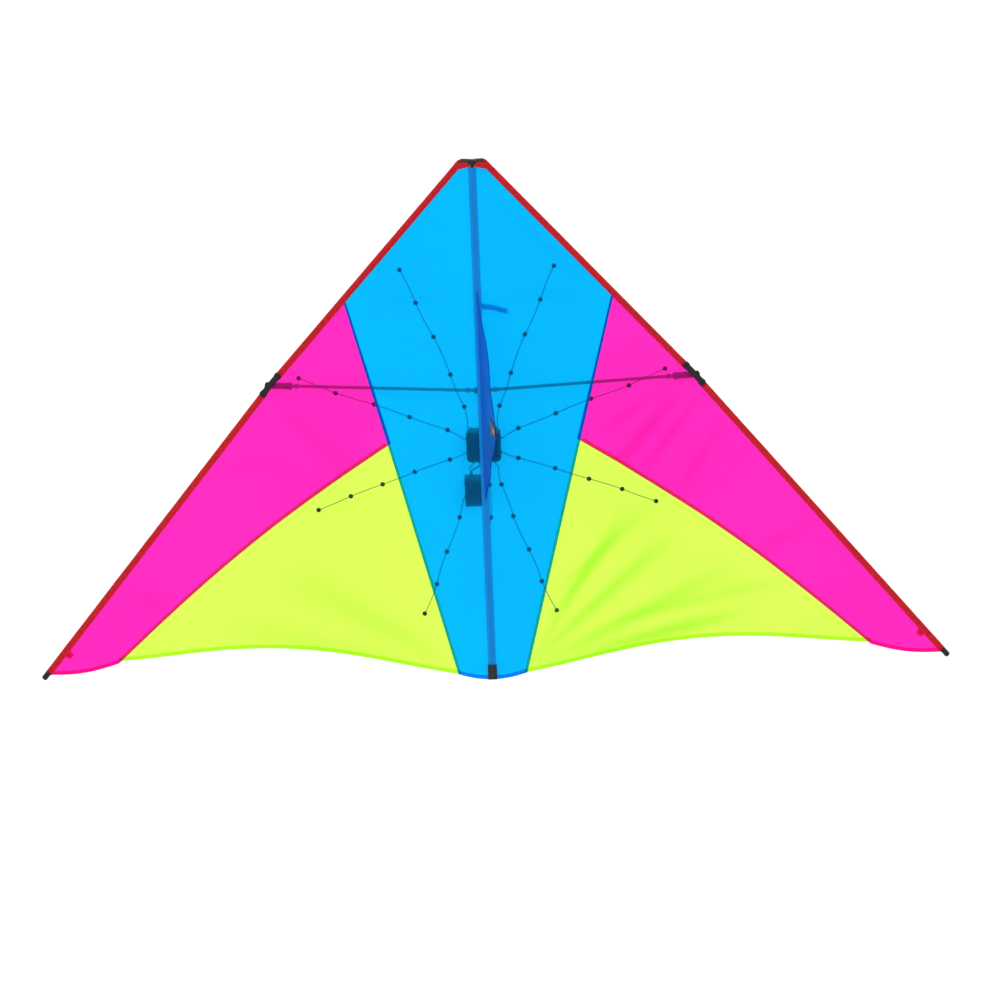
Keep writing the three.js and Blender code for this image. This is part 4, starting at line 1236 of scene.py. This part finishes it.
def strap(name, end_down, way, length, node):
    """Webbing folded over the spine's end, lying down the front and the back of the pocket."""
    half, face = POCKET_HALF - 0.2, POCKET_DEPTH + 0.6
    reach = length - 0.6
    turn = 2 * face
    whole = 2 * (reach - 3) + turn + 2.4

    def section(share):
        distance = whole * share
        run = reach - 3
        if distance < run:
            return (reach - distance, -face)
        if distance > whole - run:
            return (reach - (whole - distance), face)
        angle = math.pi * (distance - run) / (whole - 2 * run)
        return (0.6 + 2.4 * (1 - math.sin(angle) ** 0.6), -face * math.cos(angle))

    def place_at(across, along):
        return (across * WEBBING_CUT, whole * along)

    def point(across, along):
        inward, behind = section(along)
        return on_spine(half * (2 * across - 1), end_down + way * inward, behind)

    tape = sheet_mesh(name, 10, 56, point, place_at)
    thicken(tape, 1.1)
    fitted(tape, BLACK_WEB, "frame", "black_webbing", node)
    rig.sheet(tape, flat=(WEBBING_CUT * MM, whole * MM), held="folded", rests_on=["spine_pocket_cloth"])
    low, high = (3.2, reach - 1.6)
    for side_face, lift in (("front", -1.0), ("back", 1.0)):
        edge = half - 1.6
        corners = [(-edge, low), (edge, low), (edge, high), (-edge, high), (-edge, low), (edge, high),
                   (edge, low), (-edge, high)]
        points = [on_spine(x, end_down + way * inward, lift * (face + 0.68)) for x, inward in corners]
        stitches(f"{name}_box_stitches_{side_face}", points, "black", "frame", 2.4, 0.3)


def nose_cover(name, side_name, side, place_at, columns, rows, stand, thickness, material, slot, flat):
    """Cloth over one side of the nose, front and back, which turns with the wing."""
    def face_point(behind):
        return lambda across, along: on_plane(*place_at(across, along), behind, side)

    faces = []
    for behind in (-stand, stand):
        face = sheet_mesh("part", columns, rows, face_point(behind), place_at)
        faces.append(thicken(face, thickness))
    whole = join(f"{side_name}_{name}", *faces)
    paint(whole, material)
    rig.slot(whole, slot)
    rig.blend(whole, "frame", f"{side_name}_wing", on_plane(8, 6, 0, side), on_plane(19, 6, 0, side))
    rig.sheet(whole, flat=flat, area=cut_area(whole, flat, 6), held="folded",
             rests_on=[f"{side_name}_nose_tape"])


def nose_gusset(side_name, side):
    """Red tape across from the spine to the leading edge, its foot arched, under a black top band."""
    def gusset_place(across, along):
        foot = 13.6 + 5.6 * across ** 1.3
        return (3.6 + (17.9 + 7.0 * along) * across, 1.6 + (foot - 1.6) * along)

    def band_place(across, along):
        dip = 3.2 * max(across - 0.8, 0) / 0.2
        return (4.0 + 19.0 * across, 0.8 + dip * (1 - 0.4 * along) + 4.4 * along)

    nose_cover("nose_gusset", side_name, side, gusset_place, 16, 12, 4.5, 0.5, RED, "red_binding",
               (0.025, 0.035))
    nose_cover("nose_top_band", side_name, side, band_place, 18, 6, 5.1, 0.6, BLACK_WEB, "black_webbing",
               (0.020, 0.0105))


def spine_parts():
    top, foot = NOSE_TOP * MM, (NOSE_TOP - SAIL_FOOT) * MM
    y = SPINE_Y * MM
    inset = 4.7 * MM
    upper_end, lower_end = Vector((0, y, top - inset)), Vector((0, y, foot + inset))
    pole = rod_between("spine_pole", upper_end, lower_end, SPINE_RADIUS, 28)
    fitted(pole, ROD, "frame", "glass_fibre_rod", "spine_rod")
    for name, node, end, way in (
        ("spine_nose_stop", "spine_nose_cap", top, -1),
        ("spine_tail_stop", "spine_tail_cap", foot, 1),
    ):
        start = Vector((0, y, end + way * 3.4 * MM))
        cap = turned(name, [(3.1, 1.3), (3.1, 9), (3.5, 9), (3.8, 8.6), (3.8, 0.9), (3.3, 0.2), (2.4, 0),
                            (0, 0), (0, 1.3), (3.1, 1.3)], start, start + Vector((0, 0, way * MM)))
        fitted(cap, VINYL, "frame", "vinyl_fitting", node)


def tie_tape():
    """The narrow tie that goes round the rolled kite, hemmed along both edges, hanging loose."""
    def place_at(across, along):
        return (across * TIE_WIDTH, along * TIE_LENGTH)

    def point(across, along):
        out = 1 + along * TIE_LENGTH
        lift = 6.5 + (8 + out) * math.tan(DIHEDRAL) + 0.5 * math.sin(along * 7.5)
        down = TIE_DOWN + along * TIE_LENGTH * 0.28 + (across - 0.5) * TIE_WIDTH + 0.8 * math.sin(along * 9)
        return on_spine(out, down, lift + 0.3 * math.cos(across * math.tau))

    tape = sheet_mesh("storage_tie_tape", 10, 44, point, place_at)
    thicken(tape, 0.7)
    # The tie takes the darker copy of the blue ripstop: painted shade for the tie seen through the sail.
    fitted(tape, SHADED_BLUE_RIPSTOP, "frame", "blue_ripstop", "storage_tie")
    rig.sheet(tape, flat=(0.011, 0.053), held="hung", rests_on=["spine_pocket_cloth"])
    for edge in (0.13, 0.87):
        row = [point(edge, 0.03 + 0.94 * i / 30) + Vector((0, 0.42 * MM, 0)) for i in range(31)]
        stitches(f"storage_tie_stitches_{'upper' if edge < 0.5 else 'lower'}", row, "blue", "frame", 2.6, 0.2)


# ---- Keel ----
KEEL_DEPTH = KEEL_FORWARD - KEEL_HINGE
EYELET_FORWARD = KEEL_DEPTH - EYELET_INSET


def in_keel(forward, down, aside=0.0):
    """A point of the keel: forward of its seam, down from the nose, and to the side of its cloth."""
    sin, cos = math.sin(KEEL_LEAN), math.cos(KEEL_LEAN)
    back = SPINE_Y - KEEL_HINGE - forward * cos + aside * sin
    return Vector((forward * sin + aside * cos, back, NOSE_TOP - down)) * MM


def quadratic(a, b, c, t):
    return tuple((1 - t) ** 2 * p + 2 * t * (1 - t) * q + t * t * r for p, q, r in zip(a, b, c))


def keel_edge(share):
    """The keel's free edge from its top to its foot, as (forward, down)."""
    upper, lower = (KEEL_DEPTH - 0.3, KEEL_APEX - 9), (KEEL_DEPTH - 0.3, KEEL_APEX + 9)
    if share < 0.5:
        return quadratic((1.0, KEEL_TOP + 1), (KEEL_DEPTH * 0.55, KEEL_TOP + 104), upper, share / 0.5)
    if share < 0.54:
        return mix(upper, lower, (share - 0.5) / 0.04)
    return quadratic(lower, (KEEL_DEPTH * 0.52, KEEL_FOOT - 66), (1.0, KEEL_FOOT - 1), (share - 0.54) / 0.46)


def keel_slack(forward, down):
    """The keel's soft ripple, still at its seam and at the eyelet."""
    loose = smooth(0, 60, forward) * (1 - smooth(95, 130, forward))
    wave = math.sin(down * 0.021 + forward * 0.012) + 0.5 * math.sin(down * 0.05 - forward * 0.03)
    return 2.2 * loose * wave + 0.5 * noise.noise(Vector((forward * 0.05, down * 0.05, 1))) * loose


def punch(obj):
    """Cuts the eyelet's hole through a piece of the keel."""
    middle = in_keel(EYELET_FORWARD, KEEL_APEX)
    across = Vector((math.cos(KEEL_LEAN), math.sin(KEEL_LEAN), 0))
    tool = rod_between("punch", middle - across * 0.01, middle + across * 0.01, EYELET_RADIUS + 0.5, 32, 0)
    hole = obj.modifiers.new("Hole", "BOOLEAN")
    hole.operation, hole.object, hole.solver = "DIFFERENCE", tool, "EXACT"
    apply_modifiers(obj)
    bpy.data.objects.remove(tool)


def keel_sheet(name, columns, rows, place_at, aside, thickness):
    def point(across, along):
        forward, down = place_at(across, along)
        return in_keel(forward, down, aside + keel_slack(forward, down))

    made = sheet_mesh(name, columns, rows, point, place_at)
    thicken(made, thickness)
    return made


def keel():
    def whole(across, along):
        forward, down = keel_edge(along)
        return (-0.1 + (max(forward, 2.0) + 0.1) * across, down)

    cloth = keel_sheet("keel_cloth", 46, 120, whole, 0.0, CLOTH)
    punch(cloth)

    def hem_place(across, along):
        share = 0.02 + 0.96 * along
        forward, down = keel_edge(share)
        before, after = keel_edge(max(share - 0.01, 0)), keel_edge(min(share + 0.01, 1))
        way = Vector((after[0] - before[0], after[1] - before[1])).normalized()
        return (max(forward - way.y * 7 * across - 0.15, 0.8), down + way.x * 7 * across)

    hemmed = keel_sheet("keel_hem", 4, 130, hem_place, 0.34, CLOTH)
    punch(hemmed)
    # The keel takes the darker copy of the blue ripstop: painted shade for the keel seen nearly edge-on.
    for obj in (cloth, hemmed):
        paint(obj, SHADED_BLUE_RIPSTOP)
        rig.slot(obj, "blue_ripstop")
    hinge, ahead = in_keel(0.0, KEEL_APEX), in_keel(14.0, KEEL_APEX)
    for face, aside in (("left", -0.28), ("right", 0.62)):
        points = []
        for i in range(101):
            forward, down = hem_place(0.8, i / 100)
            points.append(in_keel(forward, down, aside + keel_slack(forward, down)))
        stitches(f"keel_hem_stitches_{face}", points, "blue", "keel", 3.0, 0.22)
    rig.blend(cloth, "frame", "keel", hinge, ahead)
    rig.ride(hemmed, "keel")
    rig.replaces(cloth, "keel_panel")
    flat = ((KEEL_DEPTH + 0.5) * MM, (KEEL_FOOT - KEEL_TOP) * MM)
    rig.sheet(cloth, flat=flat, area=cut_area(cloth, flat, 5), held="stretched",
             rests_on=["spine_pocket_cloth"], with_pieces=[hemmed])

    def tape_point(across, along):
        out = -3.6 + 7.2 * across
        down = KEEL_TOP + 1 + (KEEL_FOOT - KEEL_TOP - 2) * along
        return on_spine(out, down, -(POCKET_DEPTH - 0.3) * math.sqrt(1 - (out / POCKET_HALF) ** 2) - 0.38)

    tape = sheet_mesh("keel_seam_tape", 8, 90, tape_point,
                      lambda a, b: (7.2 * a, (KEEL_FOOT - KEEL_TOP) * b))
    thicken(tape, 0.4)
    fitted(tape, BLUE_DENSE, "frame", "blue_ripstop")
    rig.sheet(tape, flat=(0.0102, 0.380), area=0.00274, held="stretched", rests_on=["spine_pocket_cloth"])
    for side_name, side in SIDES:
        row = [tape_point(0.5 + side * 0.32, i / 80) - Vector((0, 0.3 * MM, 0)) for i in range(81)]
        stitches(f"keel_seam_stitches_{side_name}", row, "blue", "frame", 3.0, 0.22)
    keel_patches()
    eyelet()


def keel_patches():
    for name, aside, node in (("left", -0.95, "keel_patch_left"), ("right", 0.95, "keel_patch_right")):
        def place_at(across, along):
            half = PATCH_FRONT_HALF + (PATCH_BACK_HALF - PATCH_FRONT_HALF) * across
            return (KEEL_DEPTH - 1 - (PATCH_LENGTH - 1) * across, KEEL_APEX + half * (2 * along - 1))

        patch = keel_sheet(f"keel_webbing_patch_{name}", 34, 24, place_at, aside, 0.7)
        punch(patch)
        fitted(patch, BLACK_WEB, "keel", "black_webbing", node)
        flat = (PATCH_LENGTH * MM, 2 * PATCH_BACK_HALF * MM)
        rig.sheet(patch, flat=flat, area=cut_area(patch, flat, 6), held="stretched", rests_on=["keel_cloth"])
        lift = aside + (0.42 if aside > 0 else -0.42)
        outline = [(0.03, 0.08), (0.95, 0.07), (0.95, 0.93), (0.03, 0.92), (0.03, 0.08)]
        points = []
        for a, b in zip(outline, outline[1:]):
            for i in range(8):
                forward, down = place_at(*mix(a, b, i / 8))
                points.append(in_keel(forward, down, lift + keel_slack(forward, down)))
        stitches(f"keel_patch_stitches_{name}", points, "black", "keel", 2.6, 0.28)


def eyelet():
    middle = in_keel(EYELET_FORWARD, KEEL_APEX)
    across = Vector((math.cos(KEEL_LEAN), math.sin(KEEL_LEAN), 0))
    rim = 1.5
    half = [(4.55, 0.0), (4.5, 0.9), (4.6, rim + 0.35), (4.95, rim + 0.95), (5.6, rim + 1.2),
            (6.4, rim + 1.1), (7.4, rim + 0.75), (8.3, rim + 0.5), (8.55, rim + 0.25), (8.3, rim), (5.5, rim),
            (5.3, rim - 0.1)]
    profile = half + [(5.3, 0.0)] + [(radius, -height) for radius, height in reversed(half)]
    ring = turned("tow_eyelet_ring", profile, middle, middle + across * MM, 48)
    fitted(ring, NICKEL, "keel", "nickel_eyelet", "tow_eyelet")


# ---- Controller and battery box ----
def eased_copy(node, name, width, limit=30):
    """The node's shape with its triangles merged to faces and its edges eased, as from a mould."""
    source = cad_node(node)
    copy = bpy.data.objects.new(name, source.data.copy())
    bpy.context.collection.objects.link(copy)
    copy.matrix_world = source.matrix_world
    copy.data.materials.clear()
    settle(copy, name)
    only(copy)
    bpy.ops.object.mode_set(mode="EDIT")
    bpy.ops.mesh.select_all(action="SELECT")
    bpy.ops.mesh.remove_doubles(threshold=1e-5)
    bpy.ops.mesh.dissolve_limited(angle_limit=math.radians(1))
    bpy.ops.object.mode_set(mode="OBJECT")
    bevel_all(copy, width, 2, limit)
    smooth_faces(copy, 40)
    return copy


def carve(obj, *tools):
    for tool in tools:
        cutter = obj.modifiers.new("Cut", "BOOLEAN")
        cutter.operation, cutter.object, cutter.solver = "DIFFERENCE", tool, "EXACT"
    apply_modifiers(obj)
    for tool in tools:
        bpy.data.objects.remove(tool)
    smooth_faces(obj, 40)


HUB_DOWN, HUB_FRONT, HUB_BACK, HUB_HALF_OUT, HUB_HALF_UP = 522.0, 6.6, 23.6, 30.0, 29.0
PACK_OUT, PACK_DOWN, PACK_FRONT, PACK_BACK, PACK_HALF_UP = -17.0, 605.0, 10.4, 26.4, 27.0
SCREW_UP = 22.0
CONTROL_OUT, CONTROL_UP = 11.0, 8.5  # the button and the light, either side of the lid's middle
VENT_HALF, VENT_TOP, VENT_FOOT = 1.0, 5.0, 13.0  # slots below the lid's middle


def controller():
    base = eased_copy("hub_base", "controller_base", 0.5)
    ribs = [
        block("rib", (side * HUB_HALF_OUT - 0.7, HUB_FRONT + 3.2, -HUB_DOWN + up - 0.7),
              (side * HUB_HALF_OUT + 0.7, HUB_BACK - 5.4, -HUB_DOWN + up + 0.7), 0)
        for side in (-1, 1) for up in (-3, 0, 3)
    ]
    carve(base, *ribs)
    fitted(base, BOX, "frame", "box_plastic", "hub_base")

    lid = eased_copy("hub_lid", "controller_lid", 0.5)
    slots = [
        block("vent", (out - VENT_HALF, HUB_BACK - 1.2, -HUB_DOWN - VENT_FOOT),
              (out + VENT_HALF, HUB_BACK + 1, -HUB_DOWN - VENT_TOP), 0)
        for out in (-12, -6, 0, 6, 12)
    ]
    panel_recess = block("recess", (-21, HUB_BACK - 0.4, -HUB_DOWN + 1), (21, HUB_BACK + 1, -HUB_DOWN + 16),
                         0)
    carve(lid, panel_recess, *slots)
    fitted(lid, BOX, "frame", "box_plastic", "hub_lid")

    behind = Vector((0, MM, 0))
    for name, node, up in (("upper", "hub_screw_upper", SCREW_UP), ("lower", "hub_screw_lower", -SCREW_UP)):
        seat = on_spine(0, HUB_DOWN - up, HUB_BACK - 1.25)
        screw = [(0, -7.5), (1.0, -7.5), (1.3, -6.8), (1.3, 0), (2.7, 0), (2.75, 0.5), (2.3, 0.9), (1.2, 1.1),
                 (0, 1.12)]
        head = turned(f"controller_screw_{name}", screw, seat, seat + behind, 24)
        cross = [
            block("slot", (-a, HUB_BACK - 0.7, -HUB_DOWN + up - b), (a, HUB_BACK + 1, -HUB_DOWN + up + b), 0)
            for a, b in ((1.6, 0.3), (0.3, 1.6))
        ]
        carve(head, *cross)
        fitted(head, STEEL, "frame", "steel_plate", node)
    button_seat = on_spine(-CONTROL_OUT, HUB_DOWN - CONTROL_UP, HUB_BACK - 0.5)
    button = [(0, -0.4), (4.2, -0.4), (4.2, 0.55), (3.9, 0.9), (2.6, 1.0), (1.2, 0.8), (0, 0.75)]
    fitted(turned("mode_button", button, button_seat, button_seat + behind, 32), KNOB, "frame",
           "switch_plastic")
    light_seat = on_spine(CONTROL_OUT, HUB_DOWN - CONTROL_UP, HUB_BACK - 0.5)
    dome = [(0, -0.4), (1.9, -0.4), (1.9, 0.5), (1.5, 1.0), (0.8, 1.25), (0, 1.3)]
    fitted(turned("mode_light", dome, light_seat, light_seat + behind, 24), DOME, "frame", "switch_plastic")
    pad = block("controller_fastening", (-7, POCKET_DEPTH + 0.35, -HUB_DOWN - 23),
                (7, HUB_FRONT - 0.1, -HUB_DOWN + 23), 0.5)
    fitted(pad, BLACK_WEB, "frame", "black_webbing", "hub_pad")


def battery_box():
    case = eased_copy("battery_case", "battery_tray", 0.35)
    fitted(case, BOX, "frame", "box_plastic", "battery_case")
    cover = eased_copy("battery_cover", "battery_door", 0.3)
    low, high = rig.box("battery_cover")
    middle_x = (low.x + high.x) / 2 / MM
    grips = [
        block("grip", (middle_x - 9 + abs(i) * 0.8, PACK_BACK - 0.5, -PACK_DOWN - 21 + i * 1.9 - 0.45),
              (middle_x + 9 - abs(i) * 0.8, PACK_BACK + 1, -PACK_DOWN - 21 + i * 1.9 + 0.45), 0)
        for i in range(-2, 3)
    ]
    window = block("recess", (middle_x - 13, PACK_BACK - 0.3, -PACK_DOWN - 14),
                   (middle_x + 13, PACK_BACK + 1, -PACK_DOWN + 19), 0)
    carve(cover, window, *grips)
    fitted(cover, BOX, "battery_cover", "box_plastic", "battery_cover")

    knob = eased_copy("power_switch", "switch_knob", 0.3)
    low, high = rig.box("power_switch")
    near, far = low / MM, high / MM
    lines = [
        block("line", (near.x - 0.5, near.y - SPINE_Y - 0.2, near.z - NOSE_TOP + 1.25 * i - 0.22),
              (near.x + 0.35, far.y - SPINE_Y + 0.2, near.z - NOSE_TOP + 1.25 * i + 0.22), 0)
        for i in (1, 2, 3)
    ]
    carve(knob, *lines)
    fitted(knob, KNOB, "power_switch", "switch_plastic", "power_switch")
    pad = block("battery_fastening", (-8, POCKET_DEPTH + 0.35, -PACK_DOWN - 21),
                (0, PACK_FRONT - 0.1, -PACK_DOWN + 21), 0.5)
    fitted(pad, BLACK_WEB, "frame", "black_webbing", "battery_pad")


def battery_wire():
    """The lead from the battery box's top to the controller's foot, with a sleeve at each end."""
    top, foot = -PACK_DOWN + PACK_HALF_UP, -HUB_DOWN - HUB_HALF_UP
    start = (PACK_OUT - 6, PACK_FRONT + 8, top - 0.2)
    end = (-8, HUB_FRONT + 8.5, foot + 0.2)
    middle = ((start[0] + end[0]) / 2, (start[1] + end[1]) / 2 + 2, (top + foot) / 2)
    route = [start, (start[0], start[1] + 1, top + 8), middle, (end[0], end[1] + 1, foot - 8), end]
    points = spread([Vector((x, SPINE_Y + y, NOSE_TOP + z)) * MM for x, y, z in route], 30)
    length = sum((q - p).length for p, q in zip(points, points[1:]))
    lead = to_mesh(curve_line("lead", points, 1.25, sides=3), "battery_wire")
    collars = []
    for at, toward in ((points[0], points[2]), (points[-1], points[-3])):
        way = (toward - at).normalized()
        collar = [(1.3, -0.6), (2.9, -0.6), (2.9, 0.9), (2.4, 1.2), (2.2, 3.5), (1.9, 5.6), (1.3, 6.2),
                  (1.3, -0.6)]
        collars.append(turned("part", collar, at, at + way * MM, 20))
    fitted(lead, SLEEVING, "frame", "lamp_wire", "battery_lead")
    guards = join("battery_wire_guards", *collars)
    fitted(guards, VINYL, "frame", "lamp_wire")
    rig.cord(lead, exit=points[0], length=round(length, 4), diameter=0.0025, far_end="object",
            stiffness="medium", lay="loose", path=points, with_pieces=[guards])


# ---- Strings of lamps ----
def behind_sail(side):
    def place(out, down, lift):
        return on_sail(out, down, lift + BLUE_LAYER + pucker(side, (out, down)), side)
    return place


def behind_pocket(out, down, lift):
    crown = math.sqrt(max(1 - (out / (POCKET_HALF + 4)) ** 2, 0))
    return on_spine(out, down, (POCKET_DEPTH - 0.1) * crown + lift)


WIRE_LIFT, LAMP_LIFT = 1.0, 0.55


def lamp(point, normal):
    """One lamp: a dark moulded foot with a cast dome."""
    foot = turned("part", [(0, 0), (3.9, 0), (4.15, 0.4), (4.1, 1.0), (3.6, 1.45), (2.7, 1.55), (0, 1.5)],
                  point, point + normal * MM, 20)
    dome = turned("part", [(0, 1.3), (2.7, 1.35), (2.65, 2.1), (2.2, 2.9), (1.3, 3.35), (0, 3.5)], point,
                  point + normal * MM, 16)
    paint(foot, VINYL)
    paint(dome, DOME)
    return foot, dome


def strand(name, node, route, surface, body, tail):
    """Two twisted wires with five lamps, stuck behind the cloth, and a tail up to the controller."""
    knots = []
    for i, (out, down) in enumerate(route):
        knots.append(surface(out, down, WIRE_LIFT))
        if i < len(route) - 1:
            after = route[i + 1]
            sway = 1.5 if i % 2 else -1.5
            for t in (0.25, 0.5, 0.75):
                middle = mix((out, down), after, t)
                lift = WIRE_LIFT + 0.2 * math.sin(t * 9)
                knots.append(surface(middle[0] + sway * math.sin(math.pi * t), middle[1], lift))
    line = spread(knots, 34 * (len(route) - 1))
    parts = []
    for strand_number in (0, 1):
        twisted = []
        for i, point in enumerate(line):
            way = (line[min(i + 1, len(line) - 1)] - line[max(i - 1, 0)]).normalized()
            across = way.cross(Vector((0, 1, 0))).normalized()
            angle = i * 0.85 + strand_number * math.pi
            aside = across * math.cos(angle) + way.cross(across) * math.sin(angle)
            twisted.append(point + aside * 0.38 * MM)
        parts.append(to_mesh(curve_line("part", twisted, 0.4, sides=1), "part"))
        paint(parts[-1], WIRE)
    for out, down in route[:-1]:
        point = surface(out, down, LAMP_LIFT)
        east = surface(out + 2, down, LAMP_LIFT) - surface(out - 2, down, LAMP_LIFT)
        south = surface(out, down + 2, LAMP_LIFT) - surface(out, down - 2, LAMP_LIFT)
        normal = east.cross(south).normalized()
        parts.extend(lamp(point, normal if normal.y > 0 else -normal))
    whole = join(name, *parts)
    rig.ride(whole, body)
    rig.replaces(whole, node)
    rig.slot(whole, "lamp_wire")
    wire_tail(f"{name}_tail", line[-1], line[-1] - line[-3], tail, body)


def wire_tail(name, start, way, entry, body):
    """The last of a string's wire, which lifts off the cloth and goes in at the controller's side."""
    entry_point, inward = entry
    way = way.normalized()
    near, inside = entry_point - inward * 3 * MM, entry_point + inward * 0.5 * MM
    points = spread([start, start + way * 2.5 * MM, near, inside], 16)
    wire = to_mesh(curve_line("part", points, 0.62, sides=2), name)
    paint(wire, WIRE)
    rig.slot(wire, "lamp_wire")
    if body == "frame":
        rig.ride(wire, "frame")
    else:
        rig.blend(wire, "frame", body, entry_point, start)
    ring = [(0.75, -0.3), (2.1, -0.3), (2.2, 0.5), (1.7, 1.2), (1.3, 2.2), (0.75, 2.3), (0.75, -0.3)]
    grommet = turned(f"{name}_grommet", ring, entry_point, entry_point - inward * MM, 18)
    fitted(grommet, VINYL, "frame", "lamp_wire")


ROUTES = {
    "front": [(135, 202), (109, 262), (80, 323), (53, 391), (31, 449), (26, 484)],
    "upper": [(321, 401), (257, 428), (190, 448), (128, 470), (62, 492), (37, 506)],
    "lower": [(296, 643), (238, 617), (181, 594), (123, 570), (60, 546), (37, 536)],
    "rear": [(116, 829), (92, 774), (72, 714), (47, 651), (29, 592), (25, 562)],
}
SPINE_ROUTES = {
    "up": [(0, 244), (0, 302), (0, 362), (8, 403), (8, 452), (8, 488)],
    "down": [(0, 829), (0, 771), (0, 711), (8, 651), (8, 591), (8, 557)],
}


def hub_entry(side, out, up):
    """Where a wire goes into the controller: a point on its side or end, and the way in."""
    depth = HUB_FRONT + 6.4
    if abs(out) >= HUB_HALF_OUT:
        return (on_spine(side * HUB_HALF_OUT, HUB_DOWN - up, depth), Vector((-side, 0, 0)))
    end = HUB_DOWN - math.copysign(HUB_HALF_UP, up)
    return (on_spine(side * out, end, depth), Vector((0, 0, -math.copysign(1, up))))


def lamp_strings():
    entries = {"front": (19, 1), "upper": (30, 13), "lower": (30, -13), "rear": (19, -1)}
    for side_name, side in SIDES:
        for which, route in ROUTES.items():
            strand(f"{side_name}_lamp_string_{which}", f"{side_name}_led_strand_{which}", route,
                   behind_sail(side), f"{side_name}_wing", hub_entry(side, *entries[which]))
    for which, up in (("up", 1), ("down", -1)):
        strand(f"spine_lamp_string_{which}", f"led_strand_{which}", SPINE_ROUTES[which], behind_pocket,
               "frame", hub_entry(1, 8, up))


# ---- Stage, light and camera ----
def studio():
    white = Shader("studio paper")
    grain = white.noise(3.0, 3.0)
    shade = white.blend(white.span(grain, 0.3, 0.7), (0.93, 0.93, 0.93), (0.96, 0.96, 0.96))
    paper = white.finish(white.principled(shade, 0.9, white.bump(grain, 0.02, 0.001)))
    bpy.ops.mesh.primitive_plane_add(size=60, location=(0, 0, FLOOR))
    floor = settle(bpy.context.object, "floor")
    paint(floor, paper)
    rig.stage(floor)

    world = bpy.data.worlds.new("studio")
    bpy.context.scene.world = world
    world.use_nodes = True
    background = world.node_tree.nodes["Background"]
    background.inputs["Color"].default_value = (1.0, 1.0, 1.0, 1.0)
    background.inputs["Strength"].default_value = 0.92
    for name, place, spread_angle, strength in (
        ("key light", (-3.0, -3.4, 4.2), 20, 0.65),
        ("back light", (4.6, 2.8, 3.2), 34, 0.9),
    ):
        data = bpy.data.lights.new(name, "SUN")
        data.angle, data.energy = math.radians(spread_angle), strength
        light = bpy.data.objects.new(name, data)
        bpy.context.collection.objects.link(light)
        light.location = place
        light.rotation_mode = "QUATERNION"
        light.rotation_quaternion = (-light.location).to_track_quat("-Z", "Y")


def camera():
    azimuth, elevation, roll = math.radians(2.9), math.radians(15.9), math.radians(2.32)
    distance, width = 40.0, 1.7499
    level = math.cos(elevation)
    back = Vector((math.sin(azimuth) * level, -math.cos(azimuth) * level, math.sin(elevation)))
    right = Vector((math.cos(azimuth), math.sin(azimuth), 0))
    up = back.cross(right)
    x = right * math.cos(roll) - up * math.sin(roll)
    y = right * math.sin(roll) + up * math.cos(roll)
    middle = Vector((0, SPINE_Y + 60, NOSE_TOP - 480)) * MM
    data = bpy.data.cameras.new("camera")
    data.sensor_width, data.lens = 36.0, 36.0 * distance / width
    data.clip_end = 200
    made = bpy.data.objects.new("camera", data)
    bpy.context.collection.objects.link(made)
    made.matrix_world = Matrix((
        (x.x, y.x, back.x, 0), (x.y, y.y, back.y, 0), (x.z, y.z, back.z, 0), (0, 0, 0, 1)
    ))
    made.location = middle + x * 0.0283 - y * 0.149 + back * distance
    bpy.context.scene.camera = made
    bpy.context.scene.view_settings.view_transform = "Standard"


def carried_over():
    """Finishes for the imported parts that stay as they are."""
    for node, material in (("hub_circuit_board", BOARD), ("battery_cell_1", CELL), ("battery_cell_2", CELL),
                           ("battery_cell_3", CELL), ("battery_contact_plate", STEEL)):
        for material_slot in cad_node(node).material_slots:
            material_slot.material = material


camera()
battery_wire()
for side_name, side in SIDES:
    sail(side_name, side)
    leading_edge(side_name, side)
    tee(side_name, side)
    spreader(side_name, side)
    nose_gusset(side_name, side)
joiner_saddle()
pocket()
strap("nose_strap", 0, 1, NOSE_STRAP, "nose_webbing")
strap("tail_strap", SAIL_FOOT, -1, TAIL_STRAP, "tail_webbing")
spine_parts()
tie_tape()
keel()
controller()
battery_box()
lamp_strings()
carried_over()
studio()

with open("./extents.json", "w") as record:
    cad = [list(corner) for corner in cad_box]
    json.dump({"cad": cad, "visual": [list(corner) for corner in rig.bounds()]}, record)
